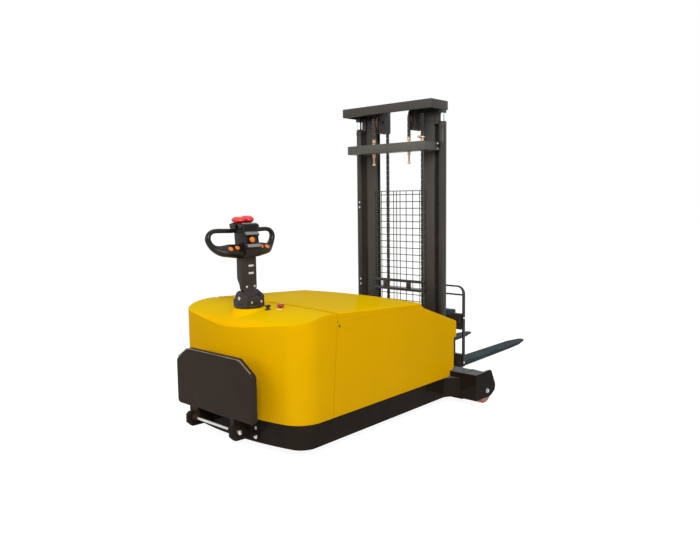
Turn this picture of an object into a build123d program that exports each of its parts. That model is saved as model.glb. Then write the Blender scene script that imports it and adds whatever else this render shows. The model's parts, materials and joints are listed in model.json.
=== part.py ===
from build123d import *

import os
from math import cos, pi, radians, sin, sqrt

os.makedirs("parts", exist_ok=True)

# Frame: +X towards the fork tips, +Y to the truck's left, +Z up, ground at z = 0, millimetres.
# The pieces stand as the truck is parked: tiller upright and turned to the right, platform folded,
# forks a little off the ground.

# Clearances
seat_gap = 0.3          # between a piece and the seat it rests on
running_gap = 0.05      # radial, shaft in hole
side_gap = 0.3          # beside a turning or sliding piece

# Chassis
body_half = 525.0       # half the width of the body
chassis_bottom = 51.0
skirt_top = 178.0
skirt_wall = 10.0
deck_thickness = 10.0
rear_x = -1385.0        # rear face on the centre line
rear_bow = 75.0         # how far the rear face falls back towards its corners
corner_radius = 100.0
skirt_front_x = 28.0

# Covers
sheet = 6.0
panel_thickness = 8.0
hood_edge_z = 745.0     # top of the hood where it meets the sides
crown = 12.0            # rise of the top on the centre line
hood_edge_radius = 26.0
hood_wall = 9.0
hood_fall = 97.0        # how far the top falls from the seam to the rear edge
# Share of the way from the seam to the rear, and share of the fall reached there
hood_falls = ((0, 0), (0.25, 0.025), (0.47, 0.125), (0.65, 0.27), (0.83, 0.46), (0.93, 0.66), (1, 1))
hood_corner_radius = 150.0
seam_top_x = -1053.0
seam_bottom_x = -1100.0
seam_gap = 3.0
lid_front_x = -291.0
lid_bottom_z = 690.0
lid_front_edge_z = 706.0
lid_edge_radius = 9.0
panel_slope_x = -270.0
panel_slope_z = 673.0
panel_front_x = 101.0
panel_nose_top_z = 540.0
panel_nose_bottom_z = 431.0
panel_low_front_x = 71.0
bulkhead_thickness = 10.0

# Lid hinge
lid_hinge_x = lid_front_x + 13.0
lid_hinge_z = lid_bottom_z + 2.0
lid_hinge_y = 300.0     # to either side
lid_pin_radius = 5.0
lid_knuckle_radius = 9.0
lid_knuckle_length = 38.0
lid_lug_thickness = 10.0

# Front axle
axle_top = 215.0
axle_bottom = 40.0
axle_front_x = 150.0
axle_wall = 12.0
axle_end_y = body_half + 97.0
gusset = 80.0
wheel_x = 168.0
load_wheel_radius = 85.0
load_wheel_width = 76.0
cheek_inner = 12.0      # thickness of the inner cheek
cheek_outer = 15.0
housing_outer_y = axle_end_y + 103.0
axle_pin_radius = 15.0
axle_head_radius = 11.0
axle_head_height = 8.0

# Drive unit and steering
steer_x = rear_x + 158.0    # steering axis
drive_wheel_radius = 115.0
drive_wheel_width = 70.0
drive_axle_radius = 20.0
drive_flange_radius = 148.0
drive_flange_height = 22.0
gear_radius = 126.0
gear_roof = 16.0
wheel_pocket = 8.0      # clearance round the drive wheel
deck_hole_radius = 130.0
gear_leg_width = 52.0
gear_leg_depth = 120.0
motor_radius = 85.0
motor_height = 190.0
column_radius = 28.0
column_hole_radius = 40.0

# Inner fittings
battery_length = 700.0
battery_half = body_half - 85.0
battery_height = 450.0
counterweight_inner_y = 205.0
counterweight_outer_y = body_half - 50.0
counterweight_rear_x = rear_x + 125.0
counterweight_front_x = seam_bottom_x - 15.0
counterweight_height = 270.0
tank_height = 150.0
pump_motor_radius = 55.0
pump_motor_height = 80.0
controller_height = 100.0
controller_fins = 10

# Rider platform, folded up
rod_x = rear_x - 110.0
rod_z = 140.0
rod_radius = 8.0
rod_half = 232.0
pan_half = 336.0
pan_bottom_z = 195.0
pan_top_z = 528.0
pan_depth = 30.0
pan_rear = 0.0         # distance from the rod back to the outer face
pan_wall = 6.0
pan_edge_radius = 9.0
pan_chamfer_y = 115.0
pan_chamfer_z = 75.0
pan_ear_y = 162.0
pan_ear_width = 26.0
pan_ear_radius = 20.0
mat_thickness = 10.0
mat_ribs = 19
mat_rib_pitch = 30.0
bracket_y = 192.0
bracket_width = 28.0
bracket_bottom_z = 90.0
bracket_top_z = 172.0
bracket_rear_x = rod_x - 35.0
bracket_flange_width = 30.0
bracket_flange_thickness = 8.0

# Tiller, turned so that its button face looks to the truck's right
boss_radius = 113.0
boss_drop = 60.0        # depth of the flared foot of the boss
seat_radius = 94.0      # round flat that the turning base stands on
boss_height = -8.0       # top of the boss against the crown of the hood
collar_height = 4.0
base_length = 128.0
base_depth = 124.0
base_disc_radius = 78.0
base_disc_height = 10.0
base_height = 38.0
ear_thickness = 20.0
ear_radius = 43.0
pivot_height = 56.0     # pivot above the underside of the base
pivot_radius = 10.0
barrel_radius = 42.0
arm_width = 119.0
arm_front_y = -8.0
arm_depth = 18.0
arm_start = 47.0        # above the pivot
arm_top_z = 1038.0
arm_bulge = 21.0
head_half = 51.0
head_block_half = 54.0
head_top_z = arm_top_z + 198.0
wing_end = 188.0
wing_even = 100.0       # the wings keep their section up to here
grip_radius = 15.0
grip_y = 50.0
grip_top_z = arm_top_z + 150.0
grip_low_z = arm_top_z + 51.0
grip_reach = 233.0
belly_gap = 5.0
belly_height = 20.0
belly_y = 20.0
belly_length = 112.0
belly_depth = 88.0
stem_radius = 10.0
stem_depth = 12.0
horn_radius = 17.0
horn_z = arm_top_z + 94.0
horn_x = -1.0           # beside the steering axis
button_radius = 14.0
button_spots = {"left_outer": 128.0, "left_inner": 86.0, "right_inner": -86.0, "right_outer": -128.0}
button_rise = 6.0
button_depth = 9.0
throttle_y = -6.0
throttle_z = arm_top_z + 168.0
throttle_shaft_radius = 6.0
paddle_thickness = 15.0

# Switches on the hood
estop_x = steer_x + 67.0
estop_y = -192.0
estop_stem_radius = 8.0
estop_cap_radius = 20.0
estop_travel = 6.0
key_x = steer_x + 24.0
key_y = -136.0
key_stem_radius = 5.0

# Mast heights, all measured down from the top of the mast
mast_top_z = 2002.0
top_bar_height = 61.0
top_bar_z = mast_top_z - top_bar_height
outer_top_z = top_bar_z - 61.0
rear_bar_z = outer_top_z - 206.0

# Outer mast
outer_rear_x = 168.0
outer_depth = 94.0
outer_inner_y = 220.0   # inner edge of the rear flange
outer_front_y = 250.0   # inner edge of the front flange
outer_outer_y = 302.0
flange_thickness = 12.0
web_thickness = 12.0
outer_bottom_z = 45.0
tie_top_z = 330.0
rear_bar_x = -2.0
rear_bar_depth = 100.0
rear_bar_half = 340.0
rear_bar_height = 59.0
rear_bar_plate = 10.0
rear_seat_y = 262.0

# Lift cylinders
cylinder_x = 166.0
cylinder_y = 368.0
cylinder_radius = 23.0
cylinder_top_z = outer_top_z - 12.0
cylinder_bore = 19.0
rod_lift_radius = 15.0
gland_length = 60.0
clamp_wall = 7.0
clamp_height = 60.0
clamp_levels = (718.0, 1284.0)
cylinder_seat = 12.0
strip_gap = 9.0         # between a cylinder and the strip behind it
strip_thickness = 8.0
strip_outer_y = 375.0

# Inner mast
lift_at_rest = 45.0     # how far the inner mast stands above its lowest place
inner_rear_x = 184.0
inner_depth = 62.0
inner_inner_y = 238.0
inner_outer_y = 286.0
inner_flange = 9.0
inner_web = 8.0
inner_bottom_z = 110.0
top_bar_rear_x = 4.0
top_bar_front_x = 200.0
top_bar_half = 391.0
bar_plate = 12.0
rod_seat_z = top_bar_z - 19.0
rod_bottom_z = 330.0

# Chains and pulleys
pulley_x = 154.0
pulley_z = top_bar_z - 43.0
chain_y = 156.0
chain_radius = 78.0     # from the pulley's axis to the middle of the chain
chain_thickness = 12.0
chain_width = 20.0
pulley_rim_radius = 86.0
pulley_width = 34.0
pulley_bore = 12.0
pulley_cheek = 8.0
cheek_low_z = pulley_z - 60.0
anchor_radius = 7.0
anchor_top_z = rear_bar_z + 88.0
anchor_bottom_z = rear_bar_z - 84.0
nut_radius = 13.0
nut_height = 12.0

# Carriage
carriage_front_x = 375.0
carriage_bar = 30.0     # thickness of the fork bars
carriage_half = 406.7
upper_bar = (428.0, 540.0)
lower_bar = (116.0, 250.0)
side_plate_inner = 214.0
side_plate_outer = 228.0
side_plate_rear_x = 196.0
side_plate_top_z = 515.0
chain_plate_z = 440.0
chain_plate_thickness = 15.0
roller_width = 17.5
roller_pin_radius = 8.0
roller_levels = {"upper": 470.0, "lower": 185.0}
backrest_y = 418.0
backrest_x = 360.0
backrest_radius = 11.0
backrest_bottom_z = 165.0
backrest_top_z = 745.0
backrest_bend = 50.0
backrest_rail_z = 675.0
backrest_rail_radius = 6.0

# Forks
fork_y = 260.0
fork_width = 110.0
fork_thickness = 40.0
fork_top_z = 154.0
fork_tip_x = 1530.0
fork_tip_thickness = 10.0
fork_hook_z = 560.0
fork_tip_taper = 150.0
fork_tip_width = 46.0

# Mesh guard
mesh_half = 226.0
mesh_bottom_z = 560.0
mesh_rows = 18
mesh_columns = 7
mesh_pitch_z = 46.0
mesh_pitch_y = 61.0
mesh_wire = 5.0
mesh_border = 12.0
mesh_bars = ((698.0, 734.0), (757.0, 782.0))
mesh_bar_depth = 12.0
mesh_block_y = 105.0

# Fasteners
bolt_radius = 9.0
bolt_height = 7.0


def level(z):
    """Plane parallel to the ground at height z."""
    return Plane.XY.offset(z)


def lengthwise(y):
    """Plane along the truck at the offset y; its own axes are X and Z."""
    return Plane.XZ.offset(-y)


def crosswise(x):
    """Plane across the truck at x; its own axes are Y and Z."""
    return Plane.YZ.offset(x)


def block(low, high, mode=Mode.ADD):
    """Box between two corners."""
    middle = [(a + b) / 2 for a, b in zip(low, high)]
    size = [b - a for a, b in zip(low, high)]
    with Locations(tuple(middle)):
        Box(*size, mode=mode)


def post(radius, x, y, low, high, mode=Mode.ADD):
    """Upright cylinder from low to high."""
    with Locations((x, y, (low + high) / 2)):
        Cylinder(radius, high - low, mode=mode)


def bar_across(radius, x, z, low, high, mode=Mode.ADD):
    """Cylinder along Y from low to high."""
    with Locations((x, (low + high) / 2, z)):
        Cylinder(radius, high - low, rotation=(90, 0, 0), mode=mode)


def bar_along(radius, y, z, low, high, mode=Mode.ADD):
    """Cylinder along X from low to high."""
    with Locations(((low + high) / 2, y, z)):
        Cylinder(radius, high - low, rotation=(0, 90, 0), mode=mode)


def span(side, near, far):
    """The two Y values of a stretch that lies near..far out on one side, in rising order."""
    return sorted((side * near, side * far))


def seam_x(z):
    """Place of the slanted seam between the hood and the battery covers at height z."""
    share = (z - skirt_top) / (hood_edge_z - skirt_top)
    return seam_bottom_x + share * (seam_top_x - seam_bottom_x)


def body_plan(front, inset, radius=corner_radius):
    """Plan of the body: straight sides, rounded rear corners and a bowed rear face."""
    side = body_half - inset
    rear = rear_x + inset
    corner = rear + rear_bow
    with BuildLine() as outline:
        Polyline((corner, side), (front, side), (front, -side), (corner, -side))
        ThreePointArc((corner, -side), (rear, 0), (corner, side))
    make_face(outline.edges())
    fillet(vertices().sort_by(Axis.X)[:2], radius - inset)


def crown_section(bottom, edge, inset=0):
    """Cross-section of a top that is level at its edges and crowned between them."""
    half = body_half - inset
    with BuildLine() as outline:
        Polyline((-half, edge), (-half, bottom), (half, bottom), (half, edge))
        ThreePointArc((half, edge), (0, edge + crown), (-half, edge))
    make_face(outline.edges())


def crown_z(edge, y):
    """Height of the crowned top at y."""
    radius = (body_half**2 + crown**2) / (2 * crown)
    return edge + crown - radius + sqrt(radius**2 - y**2)


def hood_edge_at(x):
    """Height of the hood's side edge at x, falling from the seam to the rear."""
    share = (seam_top_x - x) / (seam_top_x - rear_x)
    for (near, low), (far, high) in zip(hood_falls, hood_falls[1:]):
        if near <= share <= far:
            reached = low + (high - low) * (share - near) / (far - near)
    return hood_edge_z - hood_fall * reached


def rear_face_x(y):
    """Place of the bowed rear face at y."""
    half = body_half
    radius = (half**2 + rear_bow**2) / (2 * rear_bow)
    return rear_x + radius - sqrt(radius**2 - y**2)


# Chassis frame: skirt, deck and bulkheads
bulkhead_front_x = lid_front_x - sheet
bulkhead_rear_x = seam_top_x + seam_gap + sheet + bulkhead_thickness
bulkhead_half = body_half - panel_thickness
with BuildPart() as chassis_frame:
    with BuildSketch(level(chassis_bottom)):
        body_plan(skirt_front_x, 0)
    extrude(amount=skirt_top - chassis_bottom)
    with BuildSketch(level(chassis_bottom)):
        body_plan(skirt_front_x - skirt_wall, skirt_wall)
    extrude(amount=skirt_top - chassis_bottom - deck_thickness, mode=Mode.SUBTRACT)
    post(deck_hole_radius, steer_x, 0, chassis_bottom, skirt_top + 1, Mode.SUBTRACT)
    for x in (bulkhead_rear_x, bulkhead_front_x):
        block(
            (x, -bulkhead_half, skirt_top),
            (x + bulkhead_thickness, bulkhead_half, lid_bottom_z - seat_gap),
        )
    for side in (-1, 1):
        hinge_y = side * lid_hinge_y
        for edge in (-1, 1):
            lug_near = hinge_y + edge * (lid_knuckle_length / 2 + side_gap)
            low, high = sorted((lug_near, lug_near + edge * lid_lug_thickness))
            block(
                (bulkhead_front_x + bulkhead_thickness, low, lid_hinge_z - 2 * lid_knuckle_radius),
                (lid_hinge_x + lid_knuckle_radius, high, lid_hinge_z + lid_knuckle_radius),
            )
        reach = lid_knuckle_length / 2 + side_gap + lid_lug_thickness
        bar_across(lid_pin_radius, lid_hinge_x, lid_hinge_z, hinge_y - reach, hinge_y + reach)
chassis_frame.part.label = "chassis_frame"
export_step(chassis_frame.part, "parts/chassis_frame.step")

# Drive hood: the moulded shell over the drive unit
hood_top_z = hood_edge_z + crown
hood_bottom_z = skirt_top + seat_gap
boss_top_z = hood_top_z + boss_height
with BuildPart() as hood_hollow:
    for share, fall in hood_falls:
        with BuildSketch(crosswise(seam_top_x - share * (seam_top_x - rear_x))):
            crown_section(hood_bottom_z, hood_edge_z - fall * hood_fall - hood_wall)
    loft()
    with BuildSketch(level(hood_bottom_z)):
        body_plan(0, hood_wall, hood_corner_radius)
    extrude(amount=hood_top_z, mode=Mode.INTERSECT)
with BuildPart() as drive_hood:
    for share, fall in hood_falls:
        with BuildSketch(crosswise(seam_top_x - share * (seam_top_x - rear_x))):
            crown_section(hood_bottom_z, hood_edge_z - fall * hood_fall)
    loft()
    with BuildSketch(level(hood_bottom_z)):
        body_plan(seam_top_x, 0, hood_corner_radius)
    extrude(amount=hood_top_z, mode=Mode.INTERSECT)
    with BuildSketch(lengthwise(0)):
        with BuildLine():
            Polyline(
                (rear_x, hood_bottom_z),
                (seam_x(hood_bottom_z), hood_bottom_z),
                (seam_x(hood_top_z), hood_top_z),
                (rear_x, hood_top_z),
                close=True,
            )
        make_face()
    extrude(amount=body_half, both=True, mode=Mode.INTERSECT)
    top = faces().sort_by(Axis.Z)[-1]
    fillet(top.edges().sort_by(Axis.X)[:-1], hood_edge_radius)
    add(hood_hollow.part, mode=Mode.SUBTRACT)
    with BuildSketch(level(hood_top_z - boss_drop)):
        with Locations((steer_x, 0)):
            Circle(boss_radius)
    extrude(amount=boss_height + boss_drop, taper=30)
    post(seat_radius, steer_x, 0, boss_top_z, hood_top_z + 1, Mode.SUBTRACT)
    post(column_hole_radius, steer_x, 0, hood_top_z - 2 * boss_drop, boss_top_z + 1, Mode.SUBTRACT)
    for x, y, collar, hole in (
        (estop_x, estop_y, 24.0, estop_stem_radius),
        (key_x, key_y, 15.0, key_stem_radius),
    ):
        here = crown_z(hood_edge_at(x), y)
        post(collar, x, y, here - hood_wall / 2, here + collar_height)
        post(hole + running_gap, x, y, here - 5 * sheet, here + 2 * collar_height, Mode.SUBTRACT)
drive_hood.part.label = "drive_hood"
export_step(drive_hood.part, "parts/drive_hood.step")

# Battery cover: a crowned lid that falls towards the mast, with two hinge knuckles in front
lid_rear_x = seam_top_x + seam_gap
with BuildPart() as battery_cover:
    with BuildSketch(crosswise(lid_rear_x)):
        crown_section(lid_bottom_z, hood_edge_z)
    with BuildSketch(crosswise(lid_front_x)):
        crown_section(lid_bottom_z, lid_front_edge_z)
    loft(ruled=True)
    top = faces().sort_by(Axis.Z)[-1]
    fillet(top.edges().sort_by(Axis.X)[1:], lid_edge_radius)
    with BuildSketch(crosswise(lid_rear_x + sheet)):
        crown_section(lid_bottom_z, hood_edge_z - lid_edge_radius, sheet)
    with BuildSketch(crosswise(lid_front_x - sheet)):
        crown_section(lid_bottom_z, lid_front_edge_z - lid_edge_radius, sheet)
    loft(ruled=True, mode=Mode.SUBTRACT)
    for side in (-1, 1):
        hinge_y = side * lid_hinge_y
        low = hinge_y - lid_knuckle_length / 2
        high = hinge_y + lid_knuckle_length / 2
        block(
            (lid_front_x - sheet / 2, low, lid_hinge_z),
            (lid_hinge_x, high, lid_hinge_z + lid_knuckle_radius),
        )
        bar_across(lid_knuckle_radius, lid_hinge_x, lid_hinge_z, low, high)
        bar_across(lid_pin_radius + running_gap, lid_hinge_x, lid_hinge_z, low, high, Mode.SUBTRACT)
battery_cover.part.label = "battery_cover"
export_step(battery_cover.part, "parts/battery_cover.step")

# Side panels
panel_bottom_z = skirt_top + seat_gap
panel_top_z = lid_bottom_z - seat_gap
for name, side in (("left", 1), ("right", -1)):
    with BuildPart() as side_panel:
        with BuildSketch(lengthwise(side * (body_half - panel_thickness / 2))):
            with BuildLine():
                Polyline(
                    (seam_x(panel_bottom_z) + seam_gap, panel_bottom_z),
                    (seam_x(panel_top_z) + seam_gap, panel_top_z),
                    (lid_front_x, panel_top_z),
                    (panel_slope_x, panel_slope_z),
                    (panel_front_x, panel_nose_top_z),
                    (panel_front_x, panel_nose_bottom_z),
                    (panel_low_front_x, panel_nose_bottom_z),
                    (panel_low_front_x, axle_top + seat_gap),
                    (skirt_front_x, axle_top + seat_gap),
                    (skirt_front_x, panel_bottom_z),
                    close=True,
                )
            make_face()
            fillet(vertices().group_by(Axis.X)[-1], 14)
            fillet(vertices().sort_by_distance((panel_low_front_x, axle_top, 0))[0], 22)
        extrude(amount=panel_thickness / 2, both=True)
    side_panel.part.label = f"side_panel_{name}"
    export_step(side_panel.part, f"parts/side_panel_{name}.step")

# Front axle beam: a box section across the truck, with a gusset to each side of the chassis
beam_rear_x = skirt_front_x + seat_gap
with BuildPart() as front_axle_beam:
    block((beam_rear_x, -axle_end_y, axle_bottom), (axle_front_x, axle_end_y, axle_top))
    block(
        (beam_rear_x + axle_wall, -axle_end_y, axle_bottom + axle_wall),
        (axle_front_x - axle_wall, axle_end_y, axle_top - axle_wall),
        Mode.SUBTRACT,
    )
    with BuildSketch(level(chassis_bottom)):
        for side in (-1, 1):
            near = side * (body_half + seat_gap)
            far = side * (body_half + gusset)
            with BuildLine():
                Line((beam_rear_x, near), (beam_rear_x - gusset, near))
                ThreePointArc(
                    (beam_rear_x - gusset, near),
                    (beam_rear_x - 0.36 * gusset, side * (body_half + 0.36 * gusset)),
                    (beam_rear_x, far),
                )
                Line((beam_rear_x, far), (beam_rear_x, near))
            make_face()
    extrude(amount=skirt_top - chassis_bottom)
front_axle_beam.part.label = "front_axle_beam"
export_step(front_axle_beam.part, "parts/front_axle_beam.step")

# Wheel housings: two cheeks with a top and a rear plate between them
for name, side in (("left", 1), ("right", -1)):
    with BuildPart() as wheel_housing:
        inner_low, inner_high = span(side, axle_end_y + seat_gap, axle_end_y + cheek_inner)
        outer_low, outer_high = span(side, housing_outer_y - cheek_outer, housing_outer_y)
        for low, high, shoulder, brow in (
            (inner_low, inner_high, (wheel_x - 23, axle_top + 4), (wheel_x + 94, axle_top - 35)),
            (outer_low, outer_high, (wheel_x + 50, axle_top + 2), (wheel_x + 94, axle_top - 85)),
        ):
            nose = (wheel_x + 103, load_wheel_radius + 10)
            chin = (wheel_x + 92, load_wheel_radius - 17)
            heel = (wheel_x + 42, axle_bottom + 2)
            with BuildSketch(lengthwise((low + high) / 2)):
                with BuildLine():
                    Polyline((beam_rear_x, axle_bottom + 5), (beam_rear_x, axle_top), shoulder, brow)
                    ThreePointArc(brow, nose, chin)
                    Polyline(chin, heel, (beam_rear_x, axle_bottom + 5))
                make_face()
                fillet(vertices().sort_by_distance((*shoulder, 0))[0], 24)
                fillet(vertices().sort_by_distance((*heel, 0))[0], 20)
            extrude(amount=(high - low) / 2, both=True)
        low, high = span(side, axle_end_y + seat_gap, housing_outer_y)
        block((beam_rear_x, low, axle_top - axle_wall), (wheel_x - 20, high, axle_top))
        block((beam_rear_x, low, axle_bottom + 5), (beam_rear_x + axle_wall, high, axle_top))
        low, high = span(side, axle_end_y - 1, housing_outer_y + 1)
        bar_across(axle_pin_radius + running_gap, wheel_x, load_wheel_radius, low, high, Mode.SUBTRACT)
    wheel_housing.part.label = f"wheel_housing_{name}"
    export_step(wheel_housing.part, f"parts/wheel_housing_{name}.step")

# Load wheel axles with their bolt heads
with BuildPart() as load_axles:
    for side in (-1, 1):
        low, high = span(side, axle_end_y + seat_gap, housing_outer_y)
        bar_across(axle_pin_radius, wheel_x, load_wheel_radius, low, high)
        low, high = span(side, housing_outer_y, housing_outer_y + axle_head_height)
        bar_across(axle_head_radius, wheel_x, load_wheel_radius, low, high)
load_axles.part.label = "load_axles"
export_step(load_axles.part, "parts/load_axles.step")

# Load wheels: hub and tread in one profile, turned about the axle
wheel_middle_y = (axle_end_y + cheek_inner + housing_outer_y - cheek_outer) / 2
for name, side in (("left", 1), ("right", -1)):
    with BuildPart() as load_wheel:
        low = side * wheel_middle_y - load_wheel_width / 2
        high = side * wheel_middle_y + load_wheel_width / 2
        bar_across(load_wheel_radius, wheel_x, load_wheel_radius, low, high)
        fillet(edges().filter_by(GeomType.CIRCLE), 8)
        for start, end in ((low, low + 12), (high - 12, high)):
            bar_across(0.72 * load_wheel_radius, wheel_x, load_wheel_radius, start, end, Mode.SUBTRACT)
            bar_across(2 * axle_pin_radius, wheel_x, load_wheel_radius, start, end)
        bore = axle_pin_radius + running_gap
        bar_across(bore, wheel_x, load_wheel_radius, low - 1, high + 1, Mode.SUBTRACT)
    load_wheel.part.label = f"load_wheel_{name}"
    export_step(load_wheel.part, f"parts/load_wheel_{name}.step")

# Pieces under the covers
with BuildPart() as battery_pack:
    battery_middle_x = (bulkhead_rear_x + bulkhead_thickness + bulkhead_front_x) / 2
    block(
        (battery_middle_x - battery_length / 2, -battery_half, skirt_top + seat_gap),
        (battery_middle_x + battery_length / 2, battery_half, skirt_top + battery_height),
    )
    fillet(edges().filter_by(Axis.Z), 12)
    cell_length = battery_length / 6
    cell_width = 2 * battery_half / 4
    with Locations((battery_middle_x, 0, skirt_top + battery_height + 5)):
        with GridLocations(cell_length, cell_width, 6, 4):
            Box(cell_length - 14, cell_width - 14, 10)
battery_pack.part.label = "battery_pack"
export_step(battery_pack.part, "parts/battery_pack.step")

with BuildPart() as counterweights:
    for side in (-1, 1):
        low, high = span(side, counterweight_inner_y, counterweight_outer_y)
        block(
            (counterweight_rear_x, low, skirt_top + seat_gap),
            (counterweight_front_x, high, skirt_top + counterweight_height),
        )
    fillet(edges().filter_by(Axis.Z), 20)
counterweights.part.label = "counterweights"
export_step(counterweights.part, "parts/counterweights.step")

shelf_z = skirt_top + counterweight_height + seat_gap
pack_middle_x = (counterweight_rear_x + counterweight_front_x) / 2
pack_middle_y = (counterweight_inner_y + counterweight_outer_y) / 2
with BuildPart() as hydraulic_power_pack:
    block(
        (counterweight_rear_x + 15, counterweight_inner_y + 15, shelf_z),
        (counterweight_front_x - 15, counterweight_outer_y - 15, shelf_z + tank_height),
    )
    fillet(edges().filter_by(Axis.Z), 20)
    tank_top = shelf_z + tank_height
    post(pump_motor_radius, pack_middle_x, pack_middle_y, tank_top, tank_top + pump_motor_height)
hydraulic_power_pack.part.label = "hydraulic_power_pack"
export_step(hydraulic_power_pack.part, "parts/hydraulic_power_pack.step")

controller_fin_length = counterweight_front_x - counterweight_rear_x - 35
controller_fin_pitch = (counterweight_outer_y - counterweight_inner_y - 54) / (controller_fins - 1)
with BuildPart() as controller:
    block(
        (counterweight_rear_x + 15, -counterweight_outer_y + 15, shelf_z),
        (counterweight_front_x - 15, -counterweight_inner_y - 15, shelf_z + controller_height / 2),
    )
    with Locations((pack_middle_x, -pack_middle_y, shelf_z + 0.75 * controller_height)):
        with GridLocations(0, controller_fin_pitch, 1, controller_fins):
            Box(controller_fin_length, 8, controller_height / 2)
controller.part.label = "controller"
export_step(controller.part, "parts/controller.step")

# Drive unit: turning flange with a leg that carries the wheel, motor on top, column up to the tiller
flange_bottom_z = skirt_top + seat_gap
flange_top_z = flange_bottom_z + drive_flange_height
gear_top_z = 2 * drive_wheel_radius + wheel_pocket + gear_roof
leg_near_x = steer_x + drive_wheel_width / 2 + 3
with BuildPart() as drive_gearbox:
    post(drive_flange_radius, steer_x, 0, flange_bottom_z, flange_top_z)
    post(gear_radius, steer_x, 0, flange_top_z, gear_top_z)
    pocket_near_x = steer_x - drive_wheel_width / 2 - 6
    pocket_radius = drive_wheel_radius + wheel_pocket
    bar_along(pocket_radius, 0, drive_wheel_radius, pocket_near_x, leg_near_x, Mode.SUBTRACT)
    block(
        (leg_near_x, -gear_leg_depth / 2, drive_wheel_radius - 55),
        (leg_near_x + gear_leg_width, gear_leg_depth / 2, flange_bottom_z),
    )
    fillet(edges().filter_by(Axis.X).group_by(Axis.Z)[0], 40)
    stub_end = steer_x - drive_wheel_width / 2
    bar_along(drive_axle_radius, 0, drive_wheel_radius, stub_end, leg_near_x)
drive_gearbox.part.label = "drive_gearbox"
export_step(drive_gearbox.part, "parts/drive_gearbox.step")

with BuildPart() as drive_motor:
    post(motor_radius, steer_x, 0, gear_top_z, gear_top_z + motor_height)
    fillet(edges().filter_by(GeomType.CIRCLE).group_by(Axis.Z)[-1], 15)
drive_motor.part.label = "drive_motor"
export_step(drive_motor.part, "parts/drive_motor.step")

base_bottom_z = boss_top_z + seat_gap
with BuildPart() as steering_column:
    post(column_radius, steer_x, 0, gear_top_z + motor_height, base_bottom_z)
steering_column.part.label = "steering_column"
export_step(steering_column.part, "parts/steering_column.step")

with BuildPart() as drive_wheel:
    low = steer_x - drive_wheel_width / 2
    high = steer_x + drive_wheel_width / 2
    bar_along(drive_wheel_radius, 0, drive_wheel_radius, low, high)
    fillet(edges().filter_by(GeomType.CIRCLE), 8)
    bar_along(0.72 * drive_wheel_radius, 0, drive_wheel_radius, low, low + 14, Mode.SUBTRACT)
    bar_along(2 * drive_axle_radius, 0, drive_wheel_radius, low, low + 14)
    bore = drive_axle_radius + running_gap
    bar_along(bore, 0, drive_wheel_radius, low - 1, high + 1, Mode.SUBTRACT)
drive_wheel.part.label = "drive_wheel"
export_step(drive_wheel.part, "parts/drive_wheel.step")

# Rider platform and its hinge
with BuildPart() as hinge_brackets:
    for side in (-1, 1):
        seat_x = rear_face_x(bracket_y + bracket_width / 2 + bracket_flange_width) - seat_gap
        flange_rear_x = rear_face_x(bracket_y) - bracket_flange_thickness
        low, high = span(side, bracket_y - bracket_width / 2, bracket_y + bracket_width / 2)
        with BuildSketch(lengthwise(side * bracket_y)):
            with BuildLine():
                Polyline(
                    (seat_x, bracket_bottom_z - 14),
                    (flange_rear_x - 20, bracket_bottom_z - 4),
                    (bracket_rear_x + 24, bracket_bottom_z),
                    (bracket_rear_x, bracket_bottom_z + 24),
                    (bracket_rear_x, rod_z + 18),
                    (bracket_rear_x + 14, bracket_top_z),
                    (seat_x, bracket_top_z),
                    close=True,
                )
            make_face()
        extrude(amount=bracket_width / 2, both=True)
        low, high = span(side, bracket_y, bracket_y + bracket_width / 2 + bracket_flange_width)
        block(
            (flange_rear_x, low, bracket_bottom_z - 20),
            (seat_x, high, bracket_top_z - 14),
        )
        low, high = span(side, bracket_y - bracket_width, bracket_y + bracket_width)
        bar_across(rod_radius + running_gap, rod_x, rod_z, low, high, Mode.SUBTRACT)
    with BuildSketch(level(chassis_bottom)):
        body_plan(skirt_front_x, -seat_gap)
    extrude(amount=skirt_top - chassis_bottom, mode=Mode.SUBTRACT)
hinge_brackets.part.label = "hinge_brackets"
export_step(hinge_brackets.part, "parts/hinge_brackets.step")

with BuildPart() as hinge_rod:
    bar_across(rod_radius, rod_x, rod_z, -rod_half, rod_half)
    for side in (-1, 1):
        low, high = span(side, bracket_y + bracket_width / 2, rod_half)
        bar_across(1.6 * rod_radius, rod_x, rod_z, low, high)
hinge_rod.part.label = "hinge_rod"
export_step(hinge_rod.part, "parts/hinge_rod.step")

pan_rear_x = rod_x - pan_rear
pan_front_x = pan_rear_x + pan_depth
pan_points = [
    (-pan_half, pan_bottom_z),
    (-pan_half, pan_top_z - pan_chamfer_z),
    (-pan_half + pan_chamfer_y, pan_top_z),
    (pan_half - pan_chamfer_y, pan_top_z),
    (pan_half, pan_top_z - pan_chamfer_z),
    (pan_half, pan_bottom_z),
]
with BuildPart() as platform_pan:
    with BuildSketch(crosswise(pan_rear_x)):
        with BuildLine():
            Polyline(*pan_points, close=True)
        make_face()
        fillet(vertices(), 24)
    extrude(amount=pan_depth)
    rim = faces().sort_by(Axis.X)[0].edges()
    fillet(rim.sort_by(Axis.Z)[1:], pan_edge_radius)
    with BuildSketch(crosswise(pan_rear_x + pan_wall)):
        with BuildLine():
            Polyline(*pan_points, close=True)
        make_face()
        fillet(vertices(), 24)
        offset(amount=-22, mode=Mode.REPLACE)
    extrude(amount=pan_depth, mode=Mode.SUBTRACT)
    for side in (-1, 1):
        low, high = span(side, pan_ear_y - pan_ear_width / 2, pan_ear_y + pan_ear_width / 2)
        bar_across(pan_ear_radius, rod_x, rod_z, low, high)
        block(
            (rod_x, low, rod_z),
            (rod_x + pan_ear_radius, high, pan_bottom_z + 8),
        )
        bar_across(rod_radius + running_gap, rod_x, rod_z, low, high, Mode.SUBTRACT)
platform_pan.part.label = "platform_pan"
export_step(platform_pan.part, "parts/platform_pan.step")

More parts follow.
